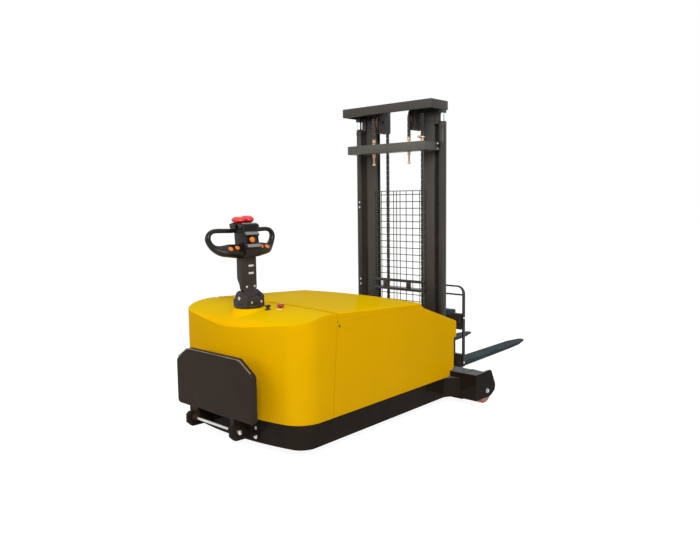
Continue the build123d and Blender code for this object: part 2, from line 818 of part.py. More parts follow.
with BuildPart() as platform_mat:
    with BuildSketch(crosswise(pan_front_x + seat_gap)):
        with BuildLine():
            Polyline(*pan_points, close=True)
        make_face()
        fillet(vertices(), 24)
        offset(amount=-12, mode=Mode.REPLACE)
    extrude(amount=mat_thickness - 3)
    mat_face_x = pan_front_x + seat_gap + mat_thickness - 3
    mat_middle_z = (pan_bottom_z + pan_top_z) / 2 - 20
    with Locations((mat_face_x + 1.5, 0, mat_middle_z)):
        with GridLocations(0, mat_rib_pitch, 1, mat_ribs):
            Box(3, 14, pan_top_z - pan_bottom_z - 1.5 * pan_chamfer_z)
platform_mat.part.label = "platform_mat"
export_step(platform_mat.part, "parts/platform_mat.step")

with BuildPart() as chassis_bolts:
    flange_rear_x = rear_face_x(bracket_y) - bracket_flange_thickness
    for side in (-1, 1):
        for z in (bracket_bottom_z - 4, bracket_top_z - 38):
            y = side * (bracket_y + bracket_width / 2 + bracket_flange_width - 18)
            bar_along(bolt_radius, y, z, flange_rear_x - bolt_height, flange_rear_x)
chassis_bolts.part.label = "chassis_bolts"
export_step(chassis_bolts.part, "parts/chassis_bolts.step")

# Tiller base with its two ears
pivot_z = base_bottom_z + pivot_height
ear_inner = base_length / 2 - ear_thickness
with BuildPart() as tiller_base:
    post(base_disc_radius, steer_x, 0, base_bottom_z, base_bottom_z + base_disc_height)
    with BuildSketch(level(base_bottom_z)):
        with Locations((steer_x, 0)):
            RectangleRounded(base_length, base_depth, 22)
    extrude(amount=base_height)
    for side in (-1, 1):
        low, high = sorted((steer_x + side * ear_inner, steer_x + side * base_length / 2))
        with BuildSketch(crosswise((low + high) / 2)):
            with BuildLine():
                Polyline(
                    (-base_depth / 2, base_bottom_z + base_disc_height / 2),
                    (-base_depth / 2, pivot_z + 8),
                    (-0.84 * base_depth / 2, pivot_z + 19),
                    (-0.1 * base_depth / 2, pivot_z + ear_radius - 0.5),
                    (0, pivot_z),
                    (ear_radius, pivot_z),
                    (0.97 * base_depth / 2, pivot_z - 16),
                    (0.97 * base_depth / 2, base_bottom_z + base_disc_height / 2),
                    close=True,
                )
            make_face()
            with Locations((0, pivot_z)):
                Circle(ear_radius)
        extrude(amount=ear_thickness / 2, both=True)
    block(
        (steer_x - ear_inner, -base_depth / 2, base_bottom_z + base_disc_height / 2),
        (steer_x + ear_inner, -barrel_radius + 6, pivot_z + 8),
    )
    reach = base_length
    bar_along(pivot_radius + running_gap, 0, pivot_z, steer_x - reach, steer_x + reach, Mode.SUBTRACT)
    bar_along(barrel_radius + 1, 0, pivot_z, steer_x - ear_inner, steer_x + ear_inner, Mode.SUBTRACT)
tiller_base.part.label = "tiller_base"
export_step(tiller_base.part, "parts/tiller_base.step")

with BuildPart() as tiller_pivot_pin:
    pin_half = base_length / 2
    bar_along(pivot_radius, 0, pivot_z, steer_x - pin_half, steer_x + pin_half)
    for side in (-1, 1):
        low, high = sorted((steer_x + side * pin_half, steer_x + side * (pin_half + 7)))
        bar_along(1.5 * pivot_radius, 0, pivot_z, low, high)
tiller_pivot_pin.part.label = "tiller_pivot_pin"
export_step(tiller_pivot_pin.part, "parts/tiller_pivot_pin.step")

with BuildPart() as base_bolts:
    for dx in (-30, 38):
        with Locations((steer_x + dx, -base_depth / 2 - 2.5, base_bottom_z + 20)):
            Cylinder(7, 5, rotation=(90, 0, 0))
base_bolts.part.label = "base_bolts"
export_step(base_bolts.part, "parts/base_bolts.step")

# Tiller arm: barrel between the ears, neck, flat arm with a bulge on its underside
arm_start_z = pivot_z + arm_start
arm_back_y = arm_front_y + arm_depth
with BuildPart() as tiller_arm:
    barrel_half = ear_inner - side_gap
    bar_along(barrel_radius, 0, pivot_z, steer_x - barrel_half, steer_x + barrel_half)
    block(
        (steer_x - barrel_half, arm_front_y, pivot_z),
        (steer_x + barrel_half, arm_back_y + arm_bulge / 2, arm_start_z),
    )
    with BuildSketch(level(arm_start_z)):
        with Locations((steer_x, (arm_front_y + arm_back_y) / 2)):
            RectangleRounded(arm_width, arm_depth, 7)
    extrude(amount=arm_top_z - arm_start_z)
    with BuildSketch(crosswise(steer_x)):
        with BuildLine():
            Polyline(
                (arm_back_y - 1, arm_start_z + 24),
                (arm_back_y + arm_bulge, arm_start_z + 64),
                (arm_back_y + arm_bulge, arm_top_z - 10),
                (arm_back_y - 1, arm_top_z),
                close=True,
            )
        make_face()
    extrude(amount=arm_width / 2 - 8, both=True)
    bar_along(pivot_radius + running_gap, 0, pivot_z, steer_x - 90, steer_x + 90, Mode.SUBTRACT)
tiller_arm.part.label = "tiller_arm"
export_step(tiller_arm.part, "parts/tiller_arm.step")

with BuildPart() as arm_bolts:
    for dx, z in ((-20, arm_start_z + 15), (36, arm_start_z + 15), (16, arm_top_z - 96), (16, arm_top_z - 54)):
        with Locations((steer_x + dx, arm_front_y - 2, z)):
            Cylinder(6, 4, rotation=(90, 0, 0))
arm_bolts.part.label = "arm_bolts"
export_step(arm_bolts.part, "parts/arm_bolts.step")

# Tiller head: stepped middle body and a sloping wing on either side for the buttons
def wing_section():
    """Section of a wing, in the plane across the truck."""
    with BuildLine() as outline:
        Polyline(
            slope_low,
            (-40, arm_top_z + 16),
            (-20, arm_top_z - 4),
            (16, arm_top_z - 11),
            (44, arm_top_z - 4),
            (57, arm_top_z + 20),
            (54, arm_top_z + 54),
            (36, arm_top_z + 68),
            slope_high,
            close=True,
        )
    make_face(outline.edges())


head_bottom_z = arm_top_z + seat_gap
head_front = -40.0
head_back = 42.0
head_block_back = 76.0
slope_low = (-38.0, arm_top_z + 28)
slope_high = (4.0, arm_top_z + 70)
slope_middle = ((slope_low[0] + slope_high[0]) / 2, (slope_low[1] + slope_high[1]) / 2)
belly_bottom_z = head_top_z + belly_gap
with BuildPart() as tiller_head:
    with BuildSketch(crosswise(steer_x)):
        with BuildLine():
            Polyline(
                (head_front, head_top_z - 10),
                (head_front, arm_top_z + 142),
                (head_front - 15, arm_top_z + 124),
                (head_front - 3, arm_top_z + 114),
                (head_front - 5, arm_top_z + 72),
                (head_front - 26, arm_top_z + 52),
                (head_front - 16, arm_top_z + 42),
                (head_front - 7, head_bottom_z),
                (head_back - 8, head_bottom_z),
                (head_back, head_bottom_z + 36),
                (head_back, head_top_z - 10),
                close=True,
            )
        make_face()
    extrude(amount=head_half, both=True)
    with BuildSketch(crosswise(steer_x)):
        with BuildLine():
            Polyline(
                (head_front - 4, head_top_z),
                (head_front - 4, head_top_z - 50),
                (head_front + 2, head_top_z - 56),
                (head_back, head_top_z - 56),
                (head_block_back - 10, head_top_z - 50),
                (head_block_back, head_top_z - 36),
                (head_block_back, head_top_z),
                close=True,
            )
        make_face()
    extrude(amount=head_block_half, both=True)
    with BuildSketch(crosswise(steer_x)):
        wing_section()
    extrude(amount=wing_even, both=True)
    for side in (-1, 1):
        with BuildSketch(crosswise(steer_x + side * wing_even)):
            wing_section()
        with BuildSketch(crosswise(steer_x + side * wing_end)):
            with Locations((grip_y, grip_low_z)):
                Circle(1.3 * grip_radius)
        loft()
    block(
        (steer_x - arm_width / 2 - side_gap, arm_front_y - side_gap, arm_top_z - 20),
        (steer_x + arm_width / 2 + side_gap, arm_back_y + arm_bulge + side_gap, head_bottom_z),
        Mode.SUBTRACT,
    )
    post(stem_radius + running_gap, steer_x, belly_y, head_top_z - stem_depth - 6, head_top_z + 1, Mode.SUBTRACT)
    with Locations((steer_x + horn_x, head_front - 9, horn_z)):
        Cylinder(horn_radius + side_gap, 30, rotation=(90, 0, 0), mode=Mode.SUBTRACT)
    for dx in button_spots.values():
        face_plane = Plane((steer_x + dx, *slope_middle), x_dir=(1, 0, 0), z_dir=(0, -1, 1))
        with BuildSketch(face_plane):
            Circle(button_radius + side_gap)
        extrude(amount=-button_depth - 4, mode=Mode.SUBTRACT)
    shaft = throttle_shaft_radius + running_gap
    bar_along(shaft, throttle_y, throttle_z, steer_x - 90, steer_x + 90, Mode.SUBTRACT)
tiller_head.part.label = "tiller_head"
export_step(tiller_head.part, "parts/tiller_head.step")

# Grip loops from the top of the head round to the ends of the wings
with BuildPart() as tiller_grips:
    for side in (-1, 1):
        with BuildLine() as loop:
            FilletPolyline(
                (steer_x + side * (head_block_half + seat_gap), grip_y, grip_top_z),
                (steer_x + side * (grip_reach - 28), grip_y, grip_top_z),
                (steer_x + side * grip_reach, grip_y, (grip_top_z + grip_low_z) / 2 + 6),
                (steer_x + side * (grip_reach - 24), grip_y, grip_low_z),
                (steer_x + side * (wing_end + seat_gap), grip_y, grip_low_z),
                radius=18,
            )
        with BuildSketch(Plane(loop.line @ 0, z_dir=loop.line % 0)):
            Circle(grip_radius)
        sweep(path=loop.line)
tiller_grips.part.label = "tiller_grips"
export_step(tiller_grips.part, "parts/tiller_grips.step")

# Belly switch: a two-lobed cap on a stem
with BuildPart() as belly_switch:
    with BuildSketch(level(belly_bottom_z)):
        with Locations((steer_x, belly_y)):
            RectangleRounded(belly_length, belly_depth, 30)
    extrude(amount=belly_height)
    fillet(edges().group_by(Axis.Z)[-1], 12)
    with Locations((steer_x, belly_y, belly_bottom_z + belly_height + 14)):
        Cylinder(20, 2 * belly_depth, rotation=(90, 0, 0), mode=Mode.SUBTRACT)
    post(stem_radius, steer_x, belly_y, head_top_z - stem_depth, belly_bottom_z)
belly_switch.part.label = "belly_switch"
export_step(belly_switch.part, "parts/belly_switch.step")

with BuildPart() as horn_button:
    with Locations((steer_x + horn_x, head_front - 9, horn_z)):
        Cylinder(horn_radius, 18, rotation=(90, 0, 0))
    fillet(edges().group_by(Axis.Y)[0], 4)
horn_button.part.label = "horn_button"
export_step(horn_button.part, "parts/horn_button.step")

for name, dx in button_spots.items():
    with BuildPart() as wing_button:
        face_plane = Plane((steer_x + dx, *slope_middle), x_dir=(1, 0, 0), z_dir=(0, -1, 1))
        with BuildSketch(face_plane.offset(-button_depth)):
            Circle(button_radius)
        extrude(amount=button_depth + button_rise)
        fillet(edges().group_by(Axis.Z)[-1], 3)
    wing_button.part.label = f"button_{name}"
    export_step(wing_button.part, f"parts/button_{name}.step")

# Thumb throttle: a paddle on each flank, joined by a shaft through the head
with BuildPart() as thumb_throttle:
    paddle_near = head_block_half + side_gap
    reach = paddle_near + paddle_thickness
    bar_along(throttle_shaft_radius, throttle_y, throttle_z, steer_x - reach, steer_x + reach)
    for side in (-1, 1):
        with BuildSketch(crosswise(steer_x + side * (paddle_near + paddle_thickness / 2))):
            with Locations((throttle_y, throttle_z)):
                Circle(11)
            with Locations((throttle_y - 20, throttle_z)):
                RectangleRounded(44, 18, 8)
        extrude(amount=paddle_thickness / 2, both=True)
thumb_throttle.part.label = "thumb_throttle"
export_step(thumb_throttle.part, "parts/thumb_throttle.step")

# Emergency stop and key
estop_z = crown_z(hood_edge_at(estop_x), estop_y) + collar_height + estop_travel
with BuildPart() as estop_button:
    post(estop_stem_radius, estop_x, estop_y, estop_z - 26, estop_z)
    post(estop_cap_radius, estop_x, estop_y, estop_z, estop_z + 18)
    fillet(edges().group_by(Axis.Z)[-1], 8)
estop_button.part.label = "estop_button"
export_step(estop_button.part, "parts/estop_button.step")

key_z = crown_z(hood_edge_at(key_x), key_y) + collar_height + seat_gap
with BuildPart() as ignition_key:
    post(key_stem_radius, key_x, key_y, key_z - 14, key_z)
    block((key_x - 4, key_y - 1.5, key_z), (key_x + 4, key_y + 1.5, key_z + 8))
    with BuildSketch(lengthwise(key_y)):
        with Locations((key_x, key_z + 18)):
            Circle(13)
        with Locations((key_x, key_z + 23)):
            Circle(3, mode=Mode.SUBTRACT)
    extrude(amount=1.5, both=True)
ignition_key.part.label = "ignition_key"
export_step(ignition_key.part, "parts/ignition_key.step")

# Outer mast: two channel columns, lower tie, cylinder seats and clamps
outer_front_x = outer_rear_x + outer_depth
strip_x = cylinder_x + cylinder_radius + strip_gap
with BuildPart() as outer_mast:
    with BuildSketch(level(outer_bottom_z)):
        for side in (-1, 1):
            with Locations(((outer_rear_x + outer_front_x) / 2, side * (outer_inner_y + outer_outer_y) / 2)):
                Rectangle(outer_depth, outer_outer_y - outer_inner_y)
            hollow = outer_outer_y - web_thickness - outer_inner_y
            with Locations(((outer_rear_x + outer_front_x) / 2, side * (outer_inner_y + hollow / 2))):
                Rectangle(outer_depth - 2 * flange_thickness, hollow, mode=Mode.SUBTRACT)
            short = outer_front_y - outer_inner_y
            with Locations((outer_front_x - flange_thickness / 2, side * (outer_inner_y + short / 2))):
                Rectangle(flange_thickness, short, mode=Mode.SUBTRACT)
    extrude(amount=outer_top_z - outer_bottom_z)
    block(
        (axle_front_x + seat_gap, -outer_outer_y, outer_bottom_z),
        (outer_rear_x, outer_outer_y, tie_top_z),
    )
    for side in (-1, 1):
        low, high = span(side, outer_outer_y, cylinder_y + cylinder_radius + 8)
        block(
            (axle_front_x + seat_gap, low, axle_top - 30),
            (cylinder_x + cylinder_radius + 30, high, axle_top + cylinder_seat),
        )
        low, high = span(side, outer_outer_y, strip_outer_y)
        block((strip_x, low, axle_top), (strip_x + strip_thickness, high, cylinder_top_z))
        for z in clamp_levels:
            low, high = span(side, outer_outer_y, cylinder_y)
            block(
                (cylinder_x + 4, low, z),
                (strip_x, high, z + clamp_height),
            )
            post(cylinder_radius + clamp_wall, cylinder_x, side * cylinder_y, z, z + clamp_height)
            hole = cylinder_radius + running_gap
            post(hole, cylinder_x, side * cylinder_y, z, z + clamp_height, Mode.SUBTRACT)
outer_mast.part.label = "outer_mast"
export_step(outer_mast.part, "parts/outer_mast.step")

# Rear bar of the mast: a channel across the back with an arm along each column
rear_bar_top_z = rear_bar_z + rear_bar_height
rear_bar_front_x = rear_bar_x + rear_bar_depth
anchor_x = pulley_x - chain_radius
rear_seat_x = outer_rear_x - seat_gap
clamp_rear_x = cylinder_x - cylinder_radius - clamp_wall
with BuildPart() as mast_rear_bar:
    block((rear_bar_x, -rear_bar_half, rear_bar_z), (rear_bar_front_x, rear_bar_half, rear_bar_top_z))
    block(
        (rear_bar_x + rear_bar_plate, -rear_bar_half + 12, rear_bar_z + rear_bar_plate),
        (rear_bar_front_x, rear_bar_half - 12, rear_bar_top_z - rear_bar_plate),
        Mode.SUBTRACT,
    )
    for side in (-1, 1):
        low, high = span(side, rear_bar_half - 12, rear_bar_half)
        block((rear_bar_front_x, low, rear_bar_z), (rear_seat_x, high, rear_bar_top_z))
        low, high = span(side, rear_seat_y, rear_bar_half - 12)
        block((rear_seat_x - 12, low, rear_bar_z), (rear_seat_x, high, rear_bar_top_z))
        clamp = cylinder_radius + clamp_wall
        low, high = span(side, rear_bar_half - 12, cylinder_y)
        block((clamp_rear_x, low, rear_bar_z), (cylinder_x, high, rear_bar_top_z))
        post(clamp, cylinder_x, side * cylinder_y, rear_bar_z, rear_bar_top_z)
        hole = cylinder_radius + running_gap
        post(hole, cylinder_x, side * cylinder_y, rear_bar_z, rear_bar_top_z, Mode.SUBTRACT)
        hole = anchor_radius + running_gap
        post(hole, anchor_x, side * chain_y, rear_bar_z, rear_bar_top_z, Mode.SUBTRACT)
mast_rear_bar.part.label = "mast_rear_bar"
export_step(mast_rear_bar.part, "parts/mast_rear_bar.step")

# Mesh guard in front of the operator's side of the mast
mesh_top_z = mesh_bottom_z + mesh_rows * mesh_pitch_z + 2 * mesh_border
mesh_middle_z = (mesh_bottom_z + mesh_top_z) / 2
mesh_rear_x = outer_rear_x - seat_gap - mesh_wire
with BuildPart() as mesh_guard:
    with BuildSketch(crosswise(mesh_rear_x)):
        with Locations((0, mesh_middle_z)):
            Rectangle(2 * mesh_half, mesh_top_z - mesh_bottom_z)
            with GridLocations(mesh_pitch_y, mesh_pitch_z, mesh_columns, mesh_rows):
                Rectangle(mesh_pitch_y - mesh_wire, mesh_pitch_z - mesh_wire, mode=Mode.SUBTRACT)
    extrude(amount=mesh_wire)
    for low, high in mesh_bars:
        block((mesh_rear_x - mesh_bar_depth, -mesh_half, low), (mesh_rear_x, mesh_half, high))
    for side in (-1, 1):
        y = side * mesh_block_y
        block(
            (mesh_rear_x - mesh_bar_depth, y - 14, mesh_bars[0][1]),
            (mesh_rear_x, y + 14, mesh_bars[1][0]),
        )
mesh_guard.part.label = "mesh_guard"
export_step(mesh_guard.part, "parts/mesh_guard.step")

# Lift cylinders and their piston rods
with BuildPart() as lift_cylinders:
    for side in (-1, 1):
        y = side * cylinder_y
        foot_z = axle_top + cylinder_seat
        post(cylinder_radius, cylinder_x, y, foot_z, cylinder_top_z)
        post(cylinder_bore, cylinder_x, y, foot_z + 40, cylinder_top_z - gland_length, Mode.SUBTRACT)
        gland = rod_lift_radius + running_gap
        post(gland, cylinder_x, y, cylinder_top_z - gland_length, cylinder_top_z, Mode.SUBTRACT)
lift_cylinders.part.label = "lift_cylinders"
export_step(lift_cylinders.part, "parts/lift_cylinders.step")

with BuildPart() as piston_rods:
    for side in (-1, 1):
        post(rod_lift_radius, cylinder_x, side * cylinder_y, rod_bottom_z, rod_seat_z)
piston_rods.part.label = "piston_rods"
export_step(piston_rods.part, "parts/piston_rods.step")

# Chain anchors: threaded rods through the rear bar, with nuts
with BuildPart() as chain_anchors:
    for side in (-1, 1):
        y = side * chain_y
        post(anchor_radius, anchor_x, y, anchor_bottom_z, anchor_top_z)
        for low in (rear_bar_z - nut_height, rear_bar_z - 2 * nut_height - 2, rear_bar_top_z):
            with BuildSketch(level(low)):
                with Locations((anchor_x, y)):
                    RegularPolygon(nut_radius, 6)
            extrude(amount=nut_height)
chain_anchors.part.label = "chain_anchors"
export_step(chain_anchors.part, "parts/chain_anchors.step")

# Mast bolts: on the arms of the rear bar and on the cylinder clamps
with BuildPart() as mast_bolts:
    for side in (-1, 1):
        for z in (rear_bar_z + 12, rear_bar_top_z - 14):
            y = side * (rear_bar_half + 12)
            bar_along(0.8 * bolt_radius, y, z, clamp_rear_x - bolt_height, clamp_rear_x)
        for level_z in clamp_levels:
            for z in (level_z + 14, level_z + clamp_height - 14):
                y = side * cylinder_y
                bar_along(6, y, z, clamp_rear_x - 4, clamp_rear_x)
mast_bolts.part.label = "mast_bolts"
export_step(mast_bolts.part, "parts/mast_bolts.step")

# Inner mast: two I-beams, lower tie, top bar with pulley cheeks and seats for the piston rods
inner_front_x = inner_rear_x + inner_depth
inner_middle_x = (inner_rear_x + inner_front_x) / 2
with BuildPart() as inner_mast:
    with BuildSketch(level(inner_bottom_z)):
        web_middle = (inner_inner_y + inner_outer_y) / 2
        pocket = (inner_outer_y - inner_inner_y - inner_web) / 2
        for side in (-1, 1):
            with Locations((inner_middle_x, side * web_middle)):
                Rectangle(inner_depth, inner_outer_y - inner_inner_y)
            for y in (inner_inner_y + pocket / 2, inner_outer_y - pocket / 2):
                with Locations((inner_middle_x, side * y)):
                    Rectangle(inner_depth - 2 * inner_flange, pocket, mode=Mode.SUBTRACT)
    extrude(amount=mast_top_z - inner_bottom_z)
    block(
        (inner_rear_x, -inner_inner_y, inner_bottom_z + 20),
        (inner_rear_x + inner_flange, inner_inner_y, inner_bottom_z + 150),
    )
    block(
        (top_bar_rear_x, -top_bar_half, top_bar_z),
        (top_bar_front_x, top_bar_half, mast_top_z),
    )
    block(
        (top_bar_rear_x + bar_plate, -top_bar_half + bar_plate, top_bar_z),
        (inner_rear_x - bar_plate, top_bar_half - bar_plate, mast_top_z - bar_plate),
        Mode.SUBTRACT,
    )
    block(
        (inner_rear_x - bar_plate, -inner_inner_y, top_bar_z),
        (top_bar_front_x, inner_inner_y, mast_top_z - bar_plate),
        Mode.SUBTRACT,
    )
    for side in (-1, 1):
        low, high = span(side, cylinder_y - 20, cylinder_y + 20)
        block(
            (cylinder_x - 20, low, rod_seat_z),
            (cylinder_x + 20, high, mast_top_z - bar_plate),
        )
        for edge in (-1, 1):
            near = side * chain_y + edge * (pulley_width / 2 + side_gap)
            low, high = sorted((near, near + edge * pulley_cheek))
            block(
                (pulley_x - 58, low, cheek_low_z),
                (pulley_x + 58, high, mast_top_z - bar_plate),
            )
        reach = pulley_width / 2 + side_gap + pulley_cheek
        bar_across(pulley_bore, pulley_x, pulley_z, side * chain_y - reach, side * chain_y + reach)
inner_mast.part.label = "inner_mast"
export_step(inner_mast.part, "parts/inner_mast.step")

# Slide pads between the inner mast and the outer columns
with BuildPart() as slide_pads:
    pad_low = outer_front_y + 4
    pad_high = inner_outer_y - 4
    for side in (-1, 1):
        low, high = span(side, pad_low, pad_high)
        for near, far in (
            (outer_rear_x + flange_thickness + side_gap, inner_rear_x - seat_gap / 10),
            (inner_front_x + seat_gap / 10, outer_front_x - flange_thickness - side_gap),
        ):
            block((near, low, inner_bottom_z + 10), (far, high, inner_bottom_z + 170))
slide_pads.part.label = "slide_pads"
export_step(slide_pads.part, "parts/slide_pads.step")

# Chain pulleys
groove_radius = chain_radius - chain_thickness / 2 - side_gap
with BuildPart() as chain_pulleys:
    for side in (-1, 1):
        low = side * chain_y - pulley_width / 2
        high = side * chain_y + pulley_width / 2
        bar_across(groove_radius, pulley_x, pulley_z, low, high)
        rim = (pulley_width - chain_width) / 2 - side_gap
        bar_across(pulley_rim_radius, pulley_x, pulley_z, low, low + rim)
        bar_across(pulley_rim_radius, pulley_x, pulley_z, high - rim, high)
        hole = pulley_bore + running_gap
        bar_across(hole, pulley_x, pulley_z, low - 1, high + 1, Mode.SUBTRACT)
chain_pulleys.part.label = "chain_pulleys"
export_step(chain_pulleys.part, "parts/chain_pulleys.step")

# Lift chains: the lengths behind the mast, and the lengths over the pulleys down to the carriage
front_chain_x = pulley_x + chain_radius
chain_foot_z = chain_plate_z + chain_plate_thickness
with BuildPart() as chain_rear_lengths:
    for side in (-1, 1):
        low, high = span(side, chain_y - chain_width / 2, chain_y + chain_width / 2)
        block(
            (anchor_x - chain_thickness / 2, low, anchor_top_z),
            (anchor_x + chain_thickness / 2, high, pulley_z - seat_gap),
        )
chain_rear_lengths.part.label = "chain_rear_lengths"
export_step(chain_rear_lengths.part, "parts/chain_rear_lengths.step")

with BuildPart() as chain_front_lengths:
    for side in (-1, 1):
        low, high = span(side, chain_y - chain_width / 2, chain_y + chain_width / 2)
        with BuildSketch(lengthwise(side * chain_y)):
            with Locations((pulley_x, pulley_z)):
                Circle(chain_radius + chain_thickness / 2)
                Circle(chain_radius - chain_thickness / 2, mode=Mode.SUBTRACT)
            with Locations((pulley_x, pulley_z - chain_radius)):
                Rectangle(4 * chain_radius, 2 * chain_radius, mode=Mode.SUBTRACT)
        extrude(amount=chain_width / 2, both=True)
        block(
            (front_chain_x - chain_thickness / 2, low, chain_foot_z),
            (front_chain_x + chain_thickness / 2, high, pulley_z),
        )
chain_front_lengths.part.label = "chain_front_lengths"
export_step(chain_front_lengths.part, "parts/chain_front_lengths.step")

# Fork carriage: two bars, two side plates with roller pins, and the plate that holds the chains
bar_rear_x = carriage_front_x - carriage_bar
roller_near_y = inner_inner_y + 1
roller_radius = inner_depth / 2 - inner_flange - side_gap
with BuildPart() as carriage_frame:
    for low, high in (upper_bar, lower_bar):
        block((bar_rear_x, -carriage_half, low), (carriage_front_x, carriage_half, high))
    for side in (-1, 1):
        low, high = span(side, side_plate_inner, side_plate_outer)
        block((side_plate_rear_x, low, lower_bar[0]), (bar_rear_x, high, side_plate_top_z))
        for z in roller_levels.values():
            low, high = span(side, side_plate_outer, roller_near_y + roller_width)
            bar_across(roller_pin_radius, inner_middle_x, z, low, high)
            low, high = span(side, side_plate_outer, roller_near_y - side_gap)
            bar_across(2 * roller_pin_radius, inner_middle_x, z, low, high)
    block(
        (side_plate_rear_x, -side_plate_inner, chain_plate_z),
        (side_plate_rear_x + 70, side_plate_inner, chain_plate_z + chain_plate_thickness),
    )
carriage_frame.part.label = "carriage_frame"
export_step(carriage_frame.part, "parts/carriage_frame.step")

for name, z in roller_levels.items():
    with BuildPart() as carriage_rollers:
        for side in (-1, 1):
            low, high = span(side, roller_near_y, roller_near_y + roller_width)
            bar_across(roller_radius, inner_middle_x, z, low, high)
            hole = roller_pin_radius + running_gap
            bar_across(hole, inner_middle_x, z, low, high, Mode.SUBTRACT)
    carriage_rollers.part.label = f"carriage_rollers_{name}"
    export_step(carriage_rollers.part, f"parts/carriage_rollers_{name}.step")

# Backrest: a bent tube round the carriage with a thin rail
with BuildPart() as backrest:
    with BuildLine() as hoop:
        FilletPolyline(
            (backrest_x, -backrest_y, backrest_bottom_z),
            (backrest_x, -backrest_y, backrest_top_z),
            (backrest_x, backrest_y, backrest_top_z),
            (backrest_x, backrest_y, backrest_bottom_z),
            radius=backrest_bend,
        )
    with BuildSketch(Plane(hoop.line @ 0, z_dir=hoop.line % 0)):
        Circle(backrest_radius)
    sweep(path=hoop.line)
    bar_across(backrest_rail_radius, backrest_x, backrest_rail_z, -backrest_y, backrest_y)
backrest.part.label = "backrest"
export_step(backrest.part, "parts/backrest.step")

with BuildPart() as backrest_bolts:
    for side in (-1, 1):
        for bar in (upper_bar, lower_bar):
            z = (bar[0] + bar[1]) / 2
            y = side * (backrest_y - backrest_radius - 22)
            low, high = sorted((carriage_front_x - carriage_bar - bolt_height, carriage_front_x - carriage_bar))
            bar_along(bolt_radius, y, z, low, high)
backrest_bolts.part.label = "backrest_bolts"
export_step(backrest_bolts.part, "parts/backrest_bolts.step")

# Forks: shank with a hook over the upper bar, tapered blade with a rounded tip
shank_rear_x = carriage_front_x + side_gap
shank_front_x = shank_rear_x + fork_thickness
fork_bottom_z = fork_top_z - fork_thickness
hook_low_z = upper_bar[1] - 18
for name, side in (("left", 1), ("right", -1)):
    with BuildPart() as fork:
        with BuildSketch(lengthwise(side * fork_y)):
            with BuildLine():
                Polyline(
                    (shank_rear_x, fork_bottom_z),
                    (fork_tip_x - 2 * fork_tip_taper, fork_bottom_z + 16),
                    (fork_tip_x, fork_top_z - fork_tip_thickness),
                    (fork_tip_x, fork_top_z),
                    (shank_front_x, fork_top_z),
                    (shank_front_x, fork_hook_z),
                    (bar_rear_x - 10, fork_hook_z),
                    (bar_rear_x - 10, hook_low_z),
                    (bar_rear_x - side_gap, hook_low_z),
                    (bar_rear_x - side_gap, upper_bar[1] + side_gap),
                    (shank_rear_x, upper_bar[1] + side_gap),
                    close=True,
                )
            make_face()
            fillet(vertices().sort_by_distance((shank_rear_x, fork_bottom_z, 0))[0], 45)
            fillet(vertices().sort_by_distance((shank_front_x, fork_top_z, 0))[0], 14)
            fillet(vertices().sort_by_distance((shank_front_x, fork_hook_z, 0))[0], 14)
        extrude(amount=fork_width / 2, both=True)
        with BuildSketch(level(0)):
            with BuildLine():
                Polyline(
                    (0, side * fork_y - fork_width / 2),
                    (fork_tip_x - fork_tip_taper, side * fork_y - fork_width / 2),
                    (fork_tip_x, side * fork_y - fork_tip_width / 2),
                    (fork_tip_x, side * fork_y + fork_tip_width / 2),
                    (fork_tip_x - fork_tip_taper, side * fork_y + fork_width / 2),
                    (0, side * fork_y + fork_width / 2),
                    close=True,
                )
            make_face()
            fillet(vertices().group_by(Axis.X)[-1], 20)
            fillet(vertices().group_by(Axis.X)[1], 80)
        extrude(amount=fork_hook_z + 1, mode=Mode.INTERSECT)
    fork.part.label = f"fork_{name}"
    export_step(fork.part, f"parts/fork_{name}.step")
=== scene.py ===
# %% [markdown]
# An electric stacker: a covered body that holds the battery and the drive, a tiller to steer it, a mast that lifts
# two forks, and a platform to stand on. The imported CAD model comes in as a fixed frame, in metres, with +X towards
# the fork tips. Everything that follows either finishes a CAD piece or stands in for one with more detail.

# %% Load the frame
import json
import math
import bpy
import bmesh
from mathutils import Matrix, Vector


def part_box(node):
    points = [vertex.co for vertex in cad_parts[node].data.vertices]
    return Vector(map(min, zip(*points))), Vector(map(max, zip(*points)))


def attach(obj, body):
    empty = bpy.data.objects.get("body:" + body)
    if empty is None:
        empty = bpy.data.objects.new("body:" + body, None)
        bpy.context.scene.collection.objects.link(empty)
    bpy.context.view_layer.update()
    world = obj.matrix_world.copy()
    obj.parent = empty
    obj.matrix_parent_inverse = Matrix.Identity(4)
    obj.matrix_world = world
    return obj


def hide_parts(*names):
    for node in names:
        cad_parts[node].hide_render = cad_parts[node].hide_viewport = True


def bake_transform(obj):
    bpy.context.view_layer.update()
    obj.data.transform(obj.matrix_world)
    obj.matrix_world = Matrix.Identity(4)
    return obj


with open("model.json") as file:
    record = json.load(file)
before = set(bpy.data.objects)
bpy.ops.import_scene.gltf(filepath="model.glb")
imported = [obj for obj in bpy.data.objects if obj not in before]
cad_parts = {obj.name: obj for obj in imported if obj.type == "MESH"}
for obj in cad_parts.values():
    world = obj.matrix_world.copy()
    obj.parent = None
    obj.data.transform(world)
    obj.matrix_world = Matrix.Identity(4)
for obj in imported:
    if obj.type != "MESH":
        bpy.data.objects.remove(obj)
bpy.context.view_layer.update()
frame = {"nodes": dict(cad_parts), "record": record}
nodes = frame["nodes"]

# %% [markdown]
# The camera comes first, because every later choice is checked against the picture it takes. Its place, turn and
# focal length were solved from the level and upright edges of the truck. The small shift moves the picture without
# tilting the uprights.

